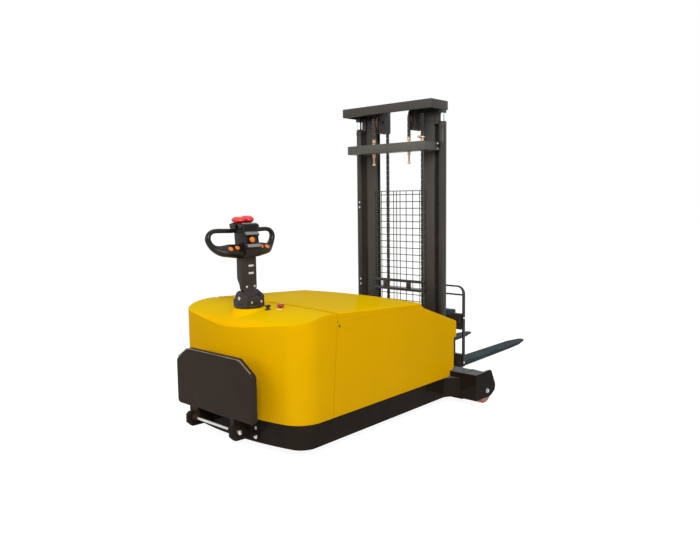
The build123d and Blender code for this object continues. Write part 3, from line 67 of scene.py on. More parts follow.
# %% Camera
picture_width, focal_length, shift_right, shift_up = 700, 668.83, -6.94, -8.21  # all in pixels
sensor_width = 36
yaw, pitch, roll = (math.radians(angle) for angle in (41.47, 5.52, -0.63))
ahead = Vector((math.cos(yaw) * math.cos(pitch), math.sin(yaw) * math.cos(pitch), -math.sin(pitch)))
level_right = Vector((math.sin(yaw), -math.cos(yaw), 0))
level_up = level_right.cross(ahead)
right = math.cos(roll) * level_right + math.sin(roll) * level_up
up = math.cos(roll) * level_up - math.sin(roll) * level_right
camera_data = bpy.data.cameras.new("photo_camera")
camera_data.sensor_width = sensor_width
camera_data.lens = focal_length / picture_width * sensor_width
camera_data.shift_x = shift_right / picture_width
camera_data.shift_y = shift_up / picture_width
camera = bpy.data.objects.new("photo_camera", camera_data)
scene = bpy.context.scene
scene.collection.objects.link(camera)
pose = Matrix((right, up, -ahead)).transposed().to_4x4()
pose.translation = Vector((-3.633, -2.947, 1.334))
camera.matrix_world = pose
scene.camera = camera
print("camera at", tuple(camera.location))

# %% [markdown]
# The studio: a pale floor that keeps a soft shadow, white surroundings, one large key light over the camera's
# shoulder and two weaker ones, overhead and behind the truck. The floor looks white by an emission that lights
# nothing else, so the lamps can stay at a plain level.

# %% Studio
white = (1, 1, 1, 1)
sky_light, floor_glow = 0.52, 0.92
floor_grey = (0.22, 0.22, 0.22, 1)
scene.view_settings.view_transform = "Standard"


def node(tree, kind, *sources, **values):
    """A new shader node: sockets or plain values for its first inputs, then its settings and named inputs."""
    made = tree.nodes.new("ShaderNode" + kind)
    for name, value in values.items():
        if hasattr(made, name):
            setattr(made, name, value)
        else:
            made.inputs[name.replace("_", " ")].default_value = value
    for source, socket in zip(sources, made.inputs):
        if isinstance(source, bpy.types.NodeSocket):
            tree.links.new(source, socket)
        elif source is not None:
            socket.default_value = source
    return made


def times(tree, first, second):
    """The product of two numbers, each a socket or a plain value."""
    return node(tree, "Math", first, second, operation="MULTIPLY").outputs[0]


def seen_directly(tree):
    """1 for rays from the camera, in mirrors and through glass, 0 for rays that light things."""
    rays = node(tree, "LightPath").outputs
    first = node(tree, "Math", rays["Is Camera Ray"], rays["Is Glossy Ray"], operation="MAXIMUM")
    return node(tree, "Math", first.outputs[0], rays["Is Transmission Ray"], operation="MAXIMUM").outputs[0]


def empty_tree(owner):
    """The node tree of a world or a material, with nothing in it."""
    owner.use_nodes = True
    owner.node_tree.nodes.clear()
    return owner.node_tree


scene.world = bpy.data.worlds.new("studio_world")
tree = empty_tree(scene.world)
lighting = node(tree, "Background", white, sky_light)
shown_sky = node(tree, "Background", white, 1.0)
choose = node(tree, "MixShader", seen_directly(tree), lighting.outputs[0], shown_sky.outputs[0])
node(tree, "OutputWorld", choose.outputs[0])

bpy.ops.object.select_all(action="DESELECT")
bpy.ops.mesh.primitive_plane_add(size=60, location=(0, 0, 0))
floor = bpy.context.object
floor.name = "floor"
floor_material = bpy.data.materials.new("floor_white")
tree = empty_tree(floor_material)
matt = node(tree, "BsdfDiffuse", floor_grey)
glow = node(tree, "Emission", None, times(tree, seen_directly(tree), floor_glow))
node(tree, "OutputMaterial", node(tree, "AddShader", matt.outputs[0], glow.outputs[0]).outputs[0])
floor.data.materials.append(floor_material)


def soft_light(name, place, target, size, power):
    """A square area lamp aimed at a point."""
    lamp = bpy.data.lights.new(name, "AREA")
    lamp.size = size
    lamp.energy = power
    piece = bpy.data.objects.new(name, lamp)
    scene.collection.objects.link(piece)
    piece.location = place
    piece.rotation_euler = (Vector(target) - Vector(place)).to_track_quat("-Z", "Y").to_euler()


soft_light("key_light", (-4.4, -4.6, 4.4), (-0.4, 0, 0.5), 3.4, 330)
soft_light("top_light", (-0.8, 0.6, 6.0), (-0.5, 0, 0.5), 4.5, 44)
soft_light("rear_light", (-6.0, 1.5, 2.8), (-1.0, 0, 0.5), 4.0, 74)
print("studio ready")

# %% [markdown]
# Finishes. Real paint is never one flat colour: it has slow changes of tone, a fine ripple in its gloss, dust in the
# low places and bare or pale edges where it is knocked. One recipe makes them all from Object coordinates, so the
# pattern keeps its real size, and each finish sets its own numbers. The Bevel node rounds the shading of every CAD
# edge by a millimetre or two, as folded and ground metal is, and the same node finds the edges that get worn.

# %% Finish recipe
def laid_over(tree, under, mask, share, colour):
    """Lay a plain colour over a colour socket where the mask is bright, up to a share."""
    mix = node(tree, "Mix", times(tree, mask, share), data_type="RGBA", B=(*colour, 1))
    tree.links.new(under, mix.inputs["A"])
    return mix.outputs["Result"]


def finish(name, colour, rough, metal=0.0, tone=0.10, ripple=0.0004, grain=900.0, edge=0.0015, worn=None,
           worn_share=0.5, dust=0.0, painted_sheen=0.0, painted_sheen_colour=(0.15, 0.165, 0.175), painted_sheen_from=0.35, coat=0.0,
           scale=6.0, specular=0.5):
    """A painted, moulded or bare surface.

    worn is the colour of rubbed edges, dust lies low down, and painted_sheen paints a sheen on faces that look up: a
    paler or tinted colour that stands for the light they catch.
    """
    made = bpy.data.materials.new(name)
    made.use_nodes = True
    tree = made.node_tree
    link = tree.links.new
    shader = tree.nodes["Principled BSDF"].inputs
    shader["Metallic"].default_value = metal
    shader["Coat Weight"].default_value = coat
    shader["Coat Roughness"].default_value = 0.08
    shader["Specular IOR Level"].default_value = specular
    where = node(tree, "TexCoord").outputs
    place = where["Object"]
    slow = node(tree, "TexNoise", place, Scale=scale, Detail=5.0, Roughness=0.6).outputs["Fac"]
    tones = node(tree, "ValToRGB", slow)
    low, high = tones.color_ramp.elements
    low.position, high.position = 0.35, 0.68
    low.color = (*[c * (1 - tone) for c in colour], 1)
    high.color = (*[min(1, c * (1 + tone)) for c in colour], 1)
    shown = tones.outputs["Color"]
    if worn:
        wide = node(tree, "Bevel", samples=4, Radius=edge * 2.2).outputs["Normal"]
        flat = node(tree, "NewGeometry").outputs["True Normal"]
        turn = node(tree, "VectorMath", wide, flat, operation="DOT_PRODUCT").outputs["Value"]
        chips = node(tree, "TexNoise", place, Scale=55.0, Detail=4.0, Roughness=0.7).outputs["Fac"]
        sharp = node(tree, "MapRange", turn, From_Min=0.97, From_Max=0.80).outputs["Result"]
        patchy = node(tree, "MapRange", chips, From_Min=0.48, From_Max=0.66).outputs["Result"]
        shown = laid_over(tree, shown, times(tree, sharp, patchy), worn_share, worn)
    if dust:
        height = node(tree, "SeparateXYZ", place).outputs["Z"]
        low_down = node(tree, "MapRange", height, From_Min=0.42, From_Max=0.03).outputs["Result"]
        cloud = node(tree, "TexNoise", place, Scale=14.0, Detail=6.0, Roughness=0.65).outputs["Fac"]
        shown = laid_over(tree, shown, times(tree, low_down, cloud), dust, (0.24, 0.21, 0.17))
    # Painted sheen: faces that look up take a paler or tinted colour that stands for the light they catch.
    if painted_sheen:
        facing = node(tree, "SeparateXYZ", where["Normal"]).outputs["Z"]
        painted_sheen_mask = node(tree, "MapRange", facing, From_Min=painted_sheen_from, From_Max=0.98).outputs["Result"]
        shown = laid_over(tree, shown, painted_sheen_mask, painted_sheen, painted_sheen_colour)
    link(shown, shader["Base Color"])
    gloss = node(tree, "MapRange", slow, From_Min=0.3, From_Max=0.7, To_Min=max(0.03, rough - 0.05),
                 To_Max=rough + 0.08)
    link(gloss.outputs["Result"], shader["Roughness"])
    bump = node(tree, "Bump", Strength=0.25, Distance=ripple)
    fine = node(tree, "TexNoise", place, Scale=grain, Detail=2.0)
    link(fine.outputs["Fac"], bump.inputs["Height"])
    link(node(tree, "Bevel", samples=4, Radius=edge).outputs["Normal"], bump.inputs["Normal"])
    link(bump.outputs["Normal"], shader["Normal"])
    return made


def screen(*levels):
    """A colour as read on a screen, 0 to 255, turned into the linear numbers a shader wants."""
    return tuple(((c / 255 + 0.055) / 1.055) ** 2.4 if c > 10 else c / 255 / 12.92 for c in levels)


print("recipe ready")

# %% [markdown]
# Each finish is named for what it is on this truck. The yellow covers are enamel with a greener painted sheen on faces
# that look up, for the sky light they catch; the chassis and platform satin black, the mast a grey-black with rubbed
# edges, the fork blades bluish grey where loads polish them. The axle and its housings carry a pale painted sheen on
# top.

# %% Finishes of this truck
chassis_paint = dict(tone=0.16, ripple=0.0005, grain=700, specular=0.0, coat=0.10, worn=(0.09, 0.08, 0.07),
                     dust=0.05)
finishes = {
    # The yellow's painted sheen: a greener colour on faces that look up stands for the sky light they catch.
    "yellow_paint": finish("yellow_enamel", screen(231, 174, 0), 0.26, tone=0.035, ripple=0.0003, grain=420,
                           edge=0.003, coat=0.04, specular=0.0, dust=0.02, painted_sheen=0.75,
                           painted_sheen_colour=screen(207, 175, 0), painted_sheen_from=0.70, scale=2.5),
    "black_paint": finish("chassis_black", screen(33, 26, 20), 0.42, **chassis_paint),
    "mast_paint": finish("mast_black", screen(56, 51, 46), 0.45, specular=0.35, tone=0.14, ripple=0.0005, grain=600,
                         worn=(0.22, 0.21, 0.20)),
    "fork_paint": finish("fork_black", screen(62, 72, 77), 0.40, tone=0.20, ripple=0.0006, grain=500, specular=0.0,
                         coat=0.06, worn=(0.36, 0.36, 0.37), worn_share=0.8),
    "bright_steel": finish("bright_steel", (0.62, 0.61, 0.60), 0.28, metal=1.0, ripple=0.0002, edge=0.0008),
    "chrome_rod": finish("chrome_rod", (0.58, 0.59, 0.61), 0.12, metal=1.0, tone=0.03, ripple=0.0, edge=0.0006),
    "bearing_steel": finish("bearing_steel", (0.36, 0.36, 0.37), 0.35, metal=1.0, tone=0.15, ripple=0.0003),
    "chain_steel": finish("oiled_chain", (0.10, 0.095, 0.088), 0.38, metal=0.9, tone=0.25, ripple=0.0003, edge=0.0008),
    "plated_yellow": finish("yellow_plating", (0.60, 0.42, 0.25), 0.30, metal=0.9, tone=0.15, ripple=0.0002,
                            edge=0.0008),
    "orange_tread": finish("orange_tread", screen(196, 104, 32), 0.45, tone=0.12, edge=0.002, dust=0.2),
    "black_tread": finish("black_tread", screen(38, 37, 36), 0.7, tone=0.12, ripple=0.0006, dust=0.3),
    "mat_rubber": finish("mat_rubber", screen(36, 36, 36), 0.75, tone=0.12, ripple=0.0006),
    "black_plastic": finish("tiller_black", screen(44, 36, 32), 0.46, grain=1300, specular=0.3, edge=0.002,
                            worn=(0.10, 0.10, 0.10), worn_share=0.4),
    "orange_plastic": finish("button_orange", screen(226, 122, 22), 0.34, tone=0.04, ripple=0.0002, edge=0.001),
    "red_plastic": finish("switch_red", screen(214, 34, 30), 0.30, tone=0.05, ripple=0.0002, edge=0.001, coat=0.2),
    "cast_weight": finish("cast_weight", screen(56, 55, 54), 0.7, tone=0.2, ripple=0.002, grain=150),
    "drive_casting": finish("drive_casting", (0.32, 0.32, 0.33), 0.5, metal=0.6, tone=0.15, ripple=0.001, grain=300),
    "battery_case": finish("battery_case", screen(70, 71, 75), 0.6, ripple=0.0005),
    "pad_plastic": finish("pad_plastic", screen(214, 210, 196), 0.5, tone=0.06, ripple=0.0002),
}
platform_black = finish("platform_black", screen(48, 37, 29), 0.30, tone=0.12, ripple=0.0006, grain=500, edge=0.002,
                        coat=0.20, specular=0.0, worn=(0.30, 0.28, 0.26))
# The axle's painted sheen: a pale colour on its upper faces stands for the light they catch.
axle_black_painted_sheen = finish("axle_black_painted_sheen", screen(33, 26, 20), 0.42, painted_sheen=0.8, **chassis_paint)
slot_of = {part["node"]: part["material_slot"] for part in frame["record"]["subparts"]}
for name, piece in nodes.items():
    if not piece.material_slots:
        piece.data.materials.append(finishes[slot_of[name]])
    for slot in piece.material_slots:
        slot.material = finishes[slot_of[name]]
nodes["platform_pan"].material_slots[0].material = platform_black
for name in ("front_axle_beam", "wheel_housing_left", "wheel_housing_right"):
    nodes[name].material_slots[0].material = axle_black_painted_sheen
print("finishes:", len(finishes) + 2)

# %% [markdown]
# The modelling tools come next. By hand one adds a primitive, goes into edit mode, extrudes and bevels, and applies
# the modifiers; these helpers do just that, in millimetres as on a workshop drawing. A finished piece keeps its object
# at the origin with its place in its mesh, so that its pattern stays put and it can hang on a body of the frame.

# %% Modelling tools
def clear():
    """Leave edit mode with nothing selected."""
    if bpy.context.object and bpy.context.object.mode != "OBJECT":
        bpy.ops.object.mode_set(mode="OBJECT")
    bpy.ops.object.select_all(action="DESELECT")


def take(*pieces):
    """Select these pieces alone; the first one is active."""
    clear()
    for piece in pieces:
        piece.select_set(True)
    bpy.context.view_layer.objects.active = pieces[0]


def mm(*numbers):
    """Millimetres to metres."""
    return Vector([number / 1000 for number in numbers])


def set_down(name):
    """Name the new primitive and put its place, turn and size into its mesh."""
    piece = bpy.context.object
    piece.name = piece.data.name = name
    bpy.ops.object.transform_apply(location=True, rotation=True, scale=True)
    return piece


def use(piece, kind, **settings):
    """Give a piece a modifier and apply it at once."""
    take(piece)
    modifier = piece.modifiers.new("step", kind)
    for name, value in settings.items():
        setattr(modifier, name, value)
    bpy.ops.object.modifier_apply(modifier="step")
    return piece


def soften(piece, width, steps=2):
    """Round the sharp edges of a piece by so many millimetres."""
    return use(piece, "BEVEL", width=width / 1000, segments=steps, limit_method="ANGLE", angle_limit=math.radians(30))


def slab(name, low, high, round_by=2.0, steps=2):
    """A block between two corners, with rounded edges."""
    clear()
    low, high = mm(*low), mm(*high)
    bpy.ops.mesh.primitive_cube_add(size=1, location=(low + high) / 2)
    bpy.context.object.scale = high - low
    return soften(set_down(name), round_by, steps)


def bar(name, start, end, radius, round_by=1.0, sides=32):
    """A round bar between two points, with rounded ends."""
    clear()
    start, end = mm(*start), mm(*end)
    turn = (end - start).to_track_quat("Z", "Y").to_euler()
    bpy.ops.mesh.primitive_cylinder_add(
        vertices=sides, radius=radius / 1000, depth=(end - start).length, location=(start + end) / 2, rotation=turn)
    return soften(set_down(name), round_by) if round_by else set_down(name)


def filled(name, outline):
    """One flat face through the points of an outline, ready to extrude."""
    clear()
    bpy.ops.mesh.primitive_circle_add(vertices=len(outline), radius=1, fill_type="NGON")
    piece = set_down(name)
    for vertex, point in zip(piece.data.vertices, outline):
        vertex.co = mm(*point)
    bpy.ops.object.mode_set(mode="EDIT")
    bpy.ops.mesh.select_all(action="SELECT")
    return piece


def outwards(piece):
    """Merge doubles and turn every face outwards."""
    take(piece)
    bpy.ops.object.mode_set(mode="EDIT")
    bpy.ops.mesh.select_all(action="SELECT")
    bpy.ops.mesh.remove_doubles(threshold=1e-6)
    bpy.ops.mesh.normals_make_consistent(inside=False)
    bpy.ops.object.mode_set(mode="OBJECT")
    return piece


def plate(name, outline, along, round_by=2.0, steps=2):
    """An outline of points, filled and extruded along a vector."""
    piece = filled(name, outline)
    bpy.ops.mesh.extrude_region_move(TRANSFORM_OT_translate={"value": mm(*along)})
    outwards(piece)
    return soften(piece, round_by, steps) if round_by else piece


def skin(name, rings, smooth):
    """A closed skin: the first ring is filled, then extruded from ring to ring and smoothed by subdivision."""
    piece = filled(name, rings[0])
    for before, after in zip(rings, rings[1:]):
        bpy.ops.mesh.extrude_region_move()
        mesh = bmesh.from_edit_mesh(piece.data)
        spots = [mm(*point) for point in before]
        for vertex in [v for v in mesh.verts if v.select]:
            index = min(range(len(spots)), key=lambda i: (vertex.co - spots[i]).length)
            vertex.co = mm(*after[index])
        bmesh.update_edit_mesh(piece.data)
    outwards(piece)
    return use(piece, "SUBSURF", levels=smooth, render_levels=smooth) if smooth else piece


def join(name, *pieces):
    """Several pieces made one."""
    take(*pieces)
    if len(pieces) > 1:
        bpy.ops.object.join()
    pieces[0].name = pieces[0].data.name = name
    return pieces[0]


def cut(piece, tool):
    """Take the tool's shape out of a piece, then drop the tool."""
    use(piece, "BOOLEAN", object=tool, operation="DIFFERENCE", solver="EXACT")
    bpy.data.objects.remove(tool)
    return piece


def bored(piece, start, end, radius, sides):
    """Drill a round hole into a piece from one point to another."""
    return cut(piece, bar("drill", start, end, radius, 0, sides))


def twin(piece, name, turn):
    """A copy with its own mesh, moved by a matrix that goes into the mesh."""
    copy = piece.copy()
    copy.data = piece.data.copy()
    copy.name = copy.data.name = name
    scene.collection.objects.link(copy)
    copy.data.transform(turn)
    return copy


def mirrored(piece, name, normal, at=0):
    """A mirror image of a piece on the far side of the plane with this normal, at so many millimetres along it."""
    normal = Vector(normal)
    shift = Matrix.Translation(2 * at / 1000 * normal)
    return outwards(twin(piece, name, shift @ Matrix.Scale(-1, 4, normal)))


def settle(piece, body, finish_name, *stands_for, angle=38, look=None):
    """Clean and smooth a finished piece, give it its finish, and hang it on a body in place of CAD nodes.

    A piece without a body is not hung on any.
    """
    outwards(piece)
    bpy.ops.object.shade_smooth_by_angle(angle=math.radians(angle))
    piece.data.materials.clear()
    piece.data.materials.append(look or finishes[finish_name])
    if body:
        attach(piece, body)
    if stands_for:
        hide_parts(*stands_for)
    print(piece.name, "has", len(piece.data.polygons), "faces")
    return piece


print("tools ready")

# %% [markdown]
# Bolts repeat all over the truck. Two kinds are modelled once at the origin, a hexagon head on a washer and a socket
# screw, and every bolt is a copy turned to the face it sits on.

# %% Bolts
def hex_bolt(across, height):
    """A hexagon head with a chamfered crown on a washer, standing on z = 0."""
    washer_top = 1.6
    clear()
    bpy.ops.mesh.primitive_cylinder_add(vertices=6, radius=across / 1000 / math.sqrt(3), depth=height / 1000,
                                        location=mm(0, 0, height / 2 + washer_top))
    head = set_down("hex_head")
    bpy.ops.object.mode_set(mode="EDIT")
    mesh = bmesh.from_edit_mesh(head.data)
    bpy.ops.mesh.select_all(action="DESELECT")
    for face in mesh.faces:
        face.select = face.normal.z > 0.9
    bpy.ops.mesh.inset(thickness=across / 1000 * 0.07)
    bpy.ops.transform.translate(value=mm(0, 0, height * 0.08))
    bpy.ops.object.mode_set(mode="OBJECT")
    soften(head, 0.4, 1)
    washer = bar("washer", (0, 0, 0), (0, 0, washer_top + 0.2), across * 0.85, 0.4, 24)
    return join("hex_bolt", head, washer)


def socket_screw(radius, height):
    """A round head with a hexagon socket, standing on z = 0."""
    head = bar("socket_head", (0, 0, 0), (0, 0, height), radius, 0.12 * radius, 28)
    return bored(head, (0, 0, height * 0.45), (0, 0, height * 1.4), radius * 0.5, 6)


def copies(model, name, spots):
    """Copies of a small piece, one at every (place, direction), joined into one; the model is dropped."""
    made = []
    for place, direction in spots:
        turn = Vector(direction).to_track_quat("Z", "Y").to_matrix().to_4x4()
        made.append(twin(model, name, Matrix.Translation(mm(*place)) @ turn))
    bpy.data.objects.remove(model)
    return join(name, *made)


def screwed(name, model, spots, body, *stands_for):
    """Bright steel copies of a bolt at every spot."""
    return settle(copies(model, name, spots), body, "bright_steel", *stands_for)


print("bolts ready")

# %% [markdown]
# The tiller stands on a small turntable on the hood. Its foot is a casting: two cheeks that hold the pivot, a front
# wall that slopes up to the arm, and a hollow between them for the barrel. Each part is drawn as an outline from the
# side, extruded and softened, and the hollow is cut last.

# %% Tiller foot
tiller_x, foot_z, pivot_z = -1227, 749.3, 805.3
both_ways = (-1, 1)


def at(x, y, z):
    """A place measured from the tiller's axis."""
    return (tiller_x + x, y, z)


def set_up(x, drawing):
    """A drawing of (y, z) set up at this x from the tiller's axis."""
    return [at(x, y, z) for y, z in drawing]


def round_points(middle, radius, start, end, count):
    """Points on an arc in a flat drawing, angles in degrees."""
    step = (end - start) / (count - 1)
    return [(middle[0] + radius * math.cos(math.radians(start + step * i)),
             middle[1] + radius * math.sin(math.radians(start + step * i))) for i in range(count)]


cheek_outline = ([(-62, foot_z + 4), (60, foot_z + 4), (60, pivot_z - 17), (56, pivot_z - 9), (47, pivot_z - 2)]
                 + round_points((0, pivot_z), 43, 0, 90, 10)
                 + [(-6, pivot_z + 42), (-20, pivot_z + 35), (-54, pivot_z + 18), (-62, pivot_z + 7)])
wall_outline = [(-62, foot_z + 3), (-63, pivot_z - 8), (-60, pivot_z + 2), (-50, pivot_z + 9), (-40, pivot_z + 9),
                (-36, foot_z + 3)]
turntable = bar("turntable", at(0, 0, foot_z), at(0, 0, foot_z + 19), 78, 5, 48)
cheeks = [plate("cheek", set_up(side * 44, cheek_outline), (side * 20, 0, 0), 4, 3) for side in both_ways]
wall = plate("front_wall", set_up(-52, wall_outline), (104, 0, 0), 4, 3)
block = slab("foot_block", at(-54, -58, foot_z + 3), at(54, 56, foot_z + 38), 8, 3)
for part in (wall, block):
    bored(part, at(-70, 0, pivot_z), at(70, 0, pivot_z), 43.2, 48)
settle(join("tiller_foot", turntable, *cheeks, wall, block), "steering", "black_plastic", "tiller_base")
pin_spots = [(at(side * 64, 0, pivot_z), (side, 0, 0)) for side in both_ways]
screwed("pivot_heads", socket_screw(10, 5), pin_spots, "steering", "tiller_pivot_pin")
wall_spots = [(at(x, -62, foot_z + 33), (0, -1, 0)) for x in (-31, 37)]
screwed("wall_screws", socket_screw(7.5, 5), wall_spots, "steering", "base_bolts")

# %% [markdown]
# The arm is a hollow casting: a barrel on the pivot, a neck, and a flat front with a swelling on its back that
# narrows again towards the pivot. A skin of rounded rectangles, one above the other, gives those slow changes, and
# subdivision smooths them.

# %% Tiller arm
def rounded_ring(half_x, front, back, z, corner):
    """A level ring of sixteen points: a rectangle with rounded corners about the tiller's axis."""
    middle_y, half_y = (front + back) / 2, (back - front) / 2
    corner = min(corner, half_x, half_y)
    ring = []
    for quarter, (sx, sy) in enumerate(((1, 1), (-1, 1), (-1, -1), (1, -1))):
        for dx, dy in round_points((0, 0), corner, 90 * quarter, 90 * quarter + 90, 4):
            ring.append(at(sx * (half_x - corner) + dx, middle_y + sy * (half_y - corner) + dy, z))
    return ring


arm_shape = (  # half the width, front, back, height over the pivot, corner radius
    (41, -22, 20, 0, 6), (41, -20, 20, 36, 6), (42, -14, 19, 45, 6), (56, -10, 11, 48, 6), (58, -9, 10, 54, 7),
    (59, -8, 9, 68, 7), (59, -8, 14, 80, 7), (59, -8, 27, 100, 8), (59.5, -8, 31, 112, 8), (59.5, -8, 31, 140, 8),
    (59.5, -8, 30, 205, 8), (59.5, -8, 30, 232, 8), (58, -8, 29, 235, 8))
arm_rings = [rounded_ring(half, front, back, pivot_z + rise, corner) for half, front, back, rise, corner in arm_shape]
arm_body = skin("arm_body", arm_rings, 1)
barrel = bar("barrel", at(-43.4, 0, pivot_z), at(43.4, 0, pivot_z), 42, 2, 48)
settle(join("tiller_arm_casting", arm_body, barrel), "tiller", "black_plastic", "tiller_arm", angle=50)
plates = [slab("arm_slot", at(-2, -10.6, z - 6.5), at(34, -7, z + 6.5), 2, 3) for z in (942, 984)]
neck_spots = [(at(x, -8.4, 866), (0, -1, 0)) for x in (-20, 36)]
neck_screws = copies(socket_screw(7, 4.5), "neck_screws", neck_spots)
settle(join("arm_trim", neck_screws, *plates), "tiller", "bright_steel", "arm_bolts")

# %% [markdown]
# The handle is a closed yoke. Below, a boat-shaped hull carries two buttons on each side on a sloping deck; at its
# outer ends it turns up into round grips that come back to the head. One skin does it: sixteen points per ring start
# as the hull's section and turn, ring by ring, into the round section of the grip.

# %% Yoke
hull_z = 1067
hull = [(-38, 1066), (-42, 1056), (-36, 1044), (-22, 1035), (-4, 1029), (16, 1027), (36, 1030), (50, 1040),
        (57, 1056), (58, 1076), (54, 1092), (42, 1101), (22, 1107), (4, 1107), (-10, 1095), (-26, 1078)]
stations = (  # place along x, height, turn, share of the round section, its two radii, its place across
    (8, 1067, 0, 0.0, 20, 24, 20), (48, 1067, 0, 0.0, 20, 24, 20), (84, 1070, 4, 0.03, 20, 24, 22),
    (122, 1075, 7, 0.14, 22, 28, 28), (156, 1073, 12, 0.38, 20, 25, 35), (188, 1082, 26, 0.75, 18, 21, 42),
    (213, 1101, 52, 0.97, 17, 18.5, 47), (229, 1130, 78, 1.0, 17, 19, 50), (231, 1150, 100, 1.0, 16, 18, 51),
    (222, 1170, 130, 1.0, 14, 16.5, 51), (203, 1182, 158, 1.0, 13.2, 15, 51), (176, 1186, 174, 1.0, 13.2, 14.5, 51),
    (110, 1183, 176, 1.0, 13.2, 14.5, 51), (30, 1180, 178, 1.0, 13.2, 14.5, 51))


def yoke_ring(along, height, turn, share, high, deep, across):
    """One ring of the yoke, from the hull's section to an oval."""
    turn = math.radians(turn)
    ring = []
    for index, (y, z) in enumerate(hull):
        angle = 2 * math.pi * index / len(hull) + math.pi
        y = (1 - share) * y + share * (across + deep * math.cos(angle))
        rise = (1 - share) * (z - hull_z) + share * high * math.sin(angle)
        ring.append(at(along - rise * math.sin(turn), y, height + rise * math.cos(turn)))
    return ring


yoke_half = skin("yoke_half", [yoke_ring(*station) for station in stations], 2)
yoke_other = mirrored(yoke_half, "yoke_other", (1, 0, 0), tiller_x)
yoke_black = finish("yoke_black", screen(28, 23, 21), 0.34, tone=0.12, ripple=0.0003, grain=1300, specular=0.12,
                    edge=0.002, coat=0.22)
settle(join("yoke", yoke_half, yoke_other), "tiller", "black_plastic", "tiller_grips", angle=50, look=yoke_black)

# %% [markdown]
# The head between the grips is stepped. A deep block on top carries the red switch; under it the front comes forward
# in two sloping ledges with the horn in a niche between them. The steps are one outline drawn from the side, extruded
# across and softened, and a row of fine ribs gives the thumb some hold. The whole head leans back a little, so all of
# its pieces are sheared alike at the end.

# %% Tiller head
head_low, head_top = 1038, 1222
horn_x, horn_z = -1, 1132
lean_share, lean_height = 0.09, 1.066


def leaning(piece):
    """Shear a piece of the head backwards about the height of the hull."""
    lean = Matrix.Identity(4)
    lean[1][2] = lean_share
    lean[1][3] = -lean_share * lean_height
    piece.data.transform(lean)
    return piece


step_outline = [(-44, head_top), (-44, 1180), (-47, 1176), (-58, 1160), (-56, 1154), (-46, 1152), (-48, 1110),
                (-58, 1108), (-70, 1092), (-68, 1086), (-60, 1082), (-50, head_low), (34, head_low), (43, 1075),
                (42, head_top)]
block_outline = [(-47, head_top), (-47, 1186), (-42, 1180), (40, 1180), (66, 1186), (76, 1200), (76, head_top)]
column = plate("head_column", set_up(-51, step_outline), (102, 0, 0), 2.5, 3)
top_block = plate("head_block", set_up(-54, block_outline), (108, 0, 0), 4, 3)
cut(column, slab("niche", at(-38, -90, 1113), at(44, -42, 1151), 4, 3))
bored(column, at(horn_x, -60, horn_z), at(horn_x, -26, horn_z), 17.4, 40)
collar = plate("collar", [(x, y, head_top - 4) for x, y, _ in rounded_ring(50, -48, 74, 0, 18)], (0, 0, 8), 2.5, 2)
cut(collar, slab("collar_gap", at(-70, -30, head_top - 2), at(70, 70, head_top + 12), 2, 1))
for part in (top_block, column, collar):
    cut(part, slab("recess", at(-51.5, -15, head_top - 12), at(51, 55, head_top + 9), 4, 2))
ribs = [slab("rib", at(-46, -49, 1188 + 5.4 * i), at(46, -44, 1191 + 5.4 * i), 0.8, 1) for i in range(6)]
head = leaning(join("tiller_head_casting", column, top_block, *ribs))
settle(head, "tiller", "black_plastic", "tiller_head", angle=32, look=yoke_black)
# The ledges and the collar are pale grey: a painted highlight for the light their faces catch.
ledge_painted_highlight = finish("ledge_painted_highlight", screen(120, 118, 116), 0.40, ripple=0.0003, grain=1300)
ledges = []
for y, z in ((-47, 1176), (-58, 1108)):
    strip = [(y - 1.4, z + 1), (y - 12.4, z - 15), (y - 10, z - 15.5), (y + 1, z)]
    ledges.append(plate("ledge", set_up(-46, strip), (92, 0, 0), 0.5, 1))
settle(leaning(join("head_ledges", collar, *ledges)), "tiller", "black_plastic", look=ledge_painted_highlight)

# %% [markdown]
# The controls. The red belly switch has two soft lobes side by side, one a little larger; each is a skin of level
# rings that swells over its neck and closes to a dome. The orange buttons are shallow domes, turned like most small
# round parts of the truck, each on its own slide, so each is its own piece.

# %% Tiller controls
def blunt(value, power):
    """A sine or cosine raised to a power below one, which squares a circle a little."""
    return math.copysign(abs(value) ** power, value)


lobe_rings = ((1219, 0.60), (1228, 0.62), (1232, 0.94), (1240, 1.05), (1250, 1.0), (1259, 0.82), (1265, 0.5))
lobe_turn = [2 * math.pi * i / 24 for i in range(24)]
lobes = []
for middle, half_x, rise in ((-31, 28, -4), (30, 31, 1)):
    rings = []
    for z, share in lobe_rings:
        lift = rise if z > 1235 else 0
        rings.append([at(middle + share * half_x * blunt(math.cos(a), 0.85), 20 + share * 44 * blunt(math.sin(a), 0.75),
                         z + lift) for a in lobe_turn])
    lobes.append(skin("lobe", rings, 1))
settle(leaning(join("belly_lobes", *lobes)), "belly_switch", "red_plastic", "belly_switch", angle=60)


def round_ring(middle, side, other, radius, sides):
    """A ring of points about a middle, in the plane of two directions."""
    return [middle + radius * (math.cos(a) * side + math.sin(a) * other)
            for a in (2 * math.pi * i / sides for i in range(sides))]


def turned(name, start, direction, profile, sides=40, smooth=0):
    """A turned piece: rings of (place along the axis, radius), first and last ring closed."""
    direction = Vector(direction).normalized()
    side = direction.orthogonal().normalized()
    other = direction.cross(side)
    rings = [round_ring(Vector(start) + reach * direction, side, other, radius, sides) for reach, radius in profile]
    return skin(name, rings, smooth)


def dome(name, spot, direction, radius, rise, depth):
    """A round button with a domed top."""
    shape = ((-depth, 1), (rise * 0.5, 1), (rise * 0.78, 0.94), (rise * 0.95, 0.7), (rise, 0.35))
    return turned(name, spot, direction, [(reach, radius * share) for reach, share in shape], 28, 1)


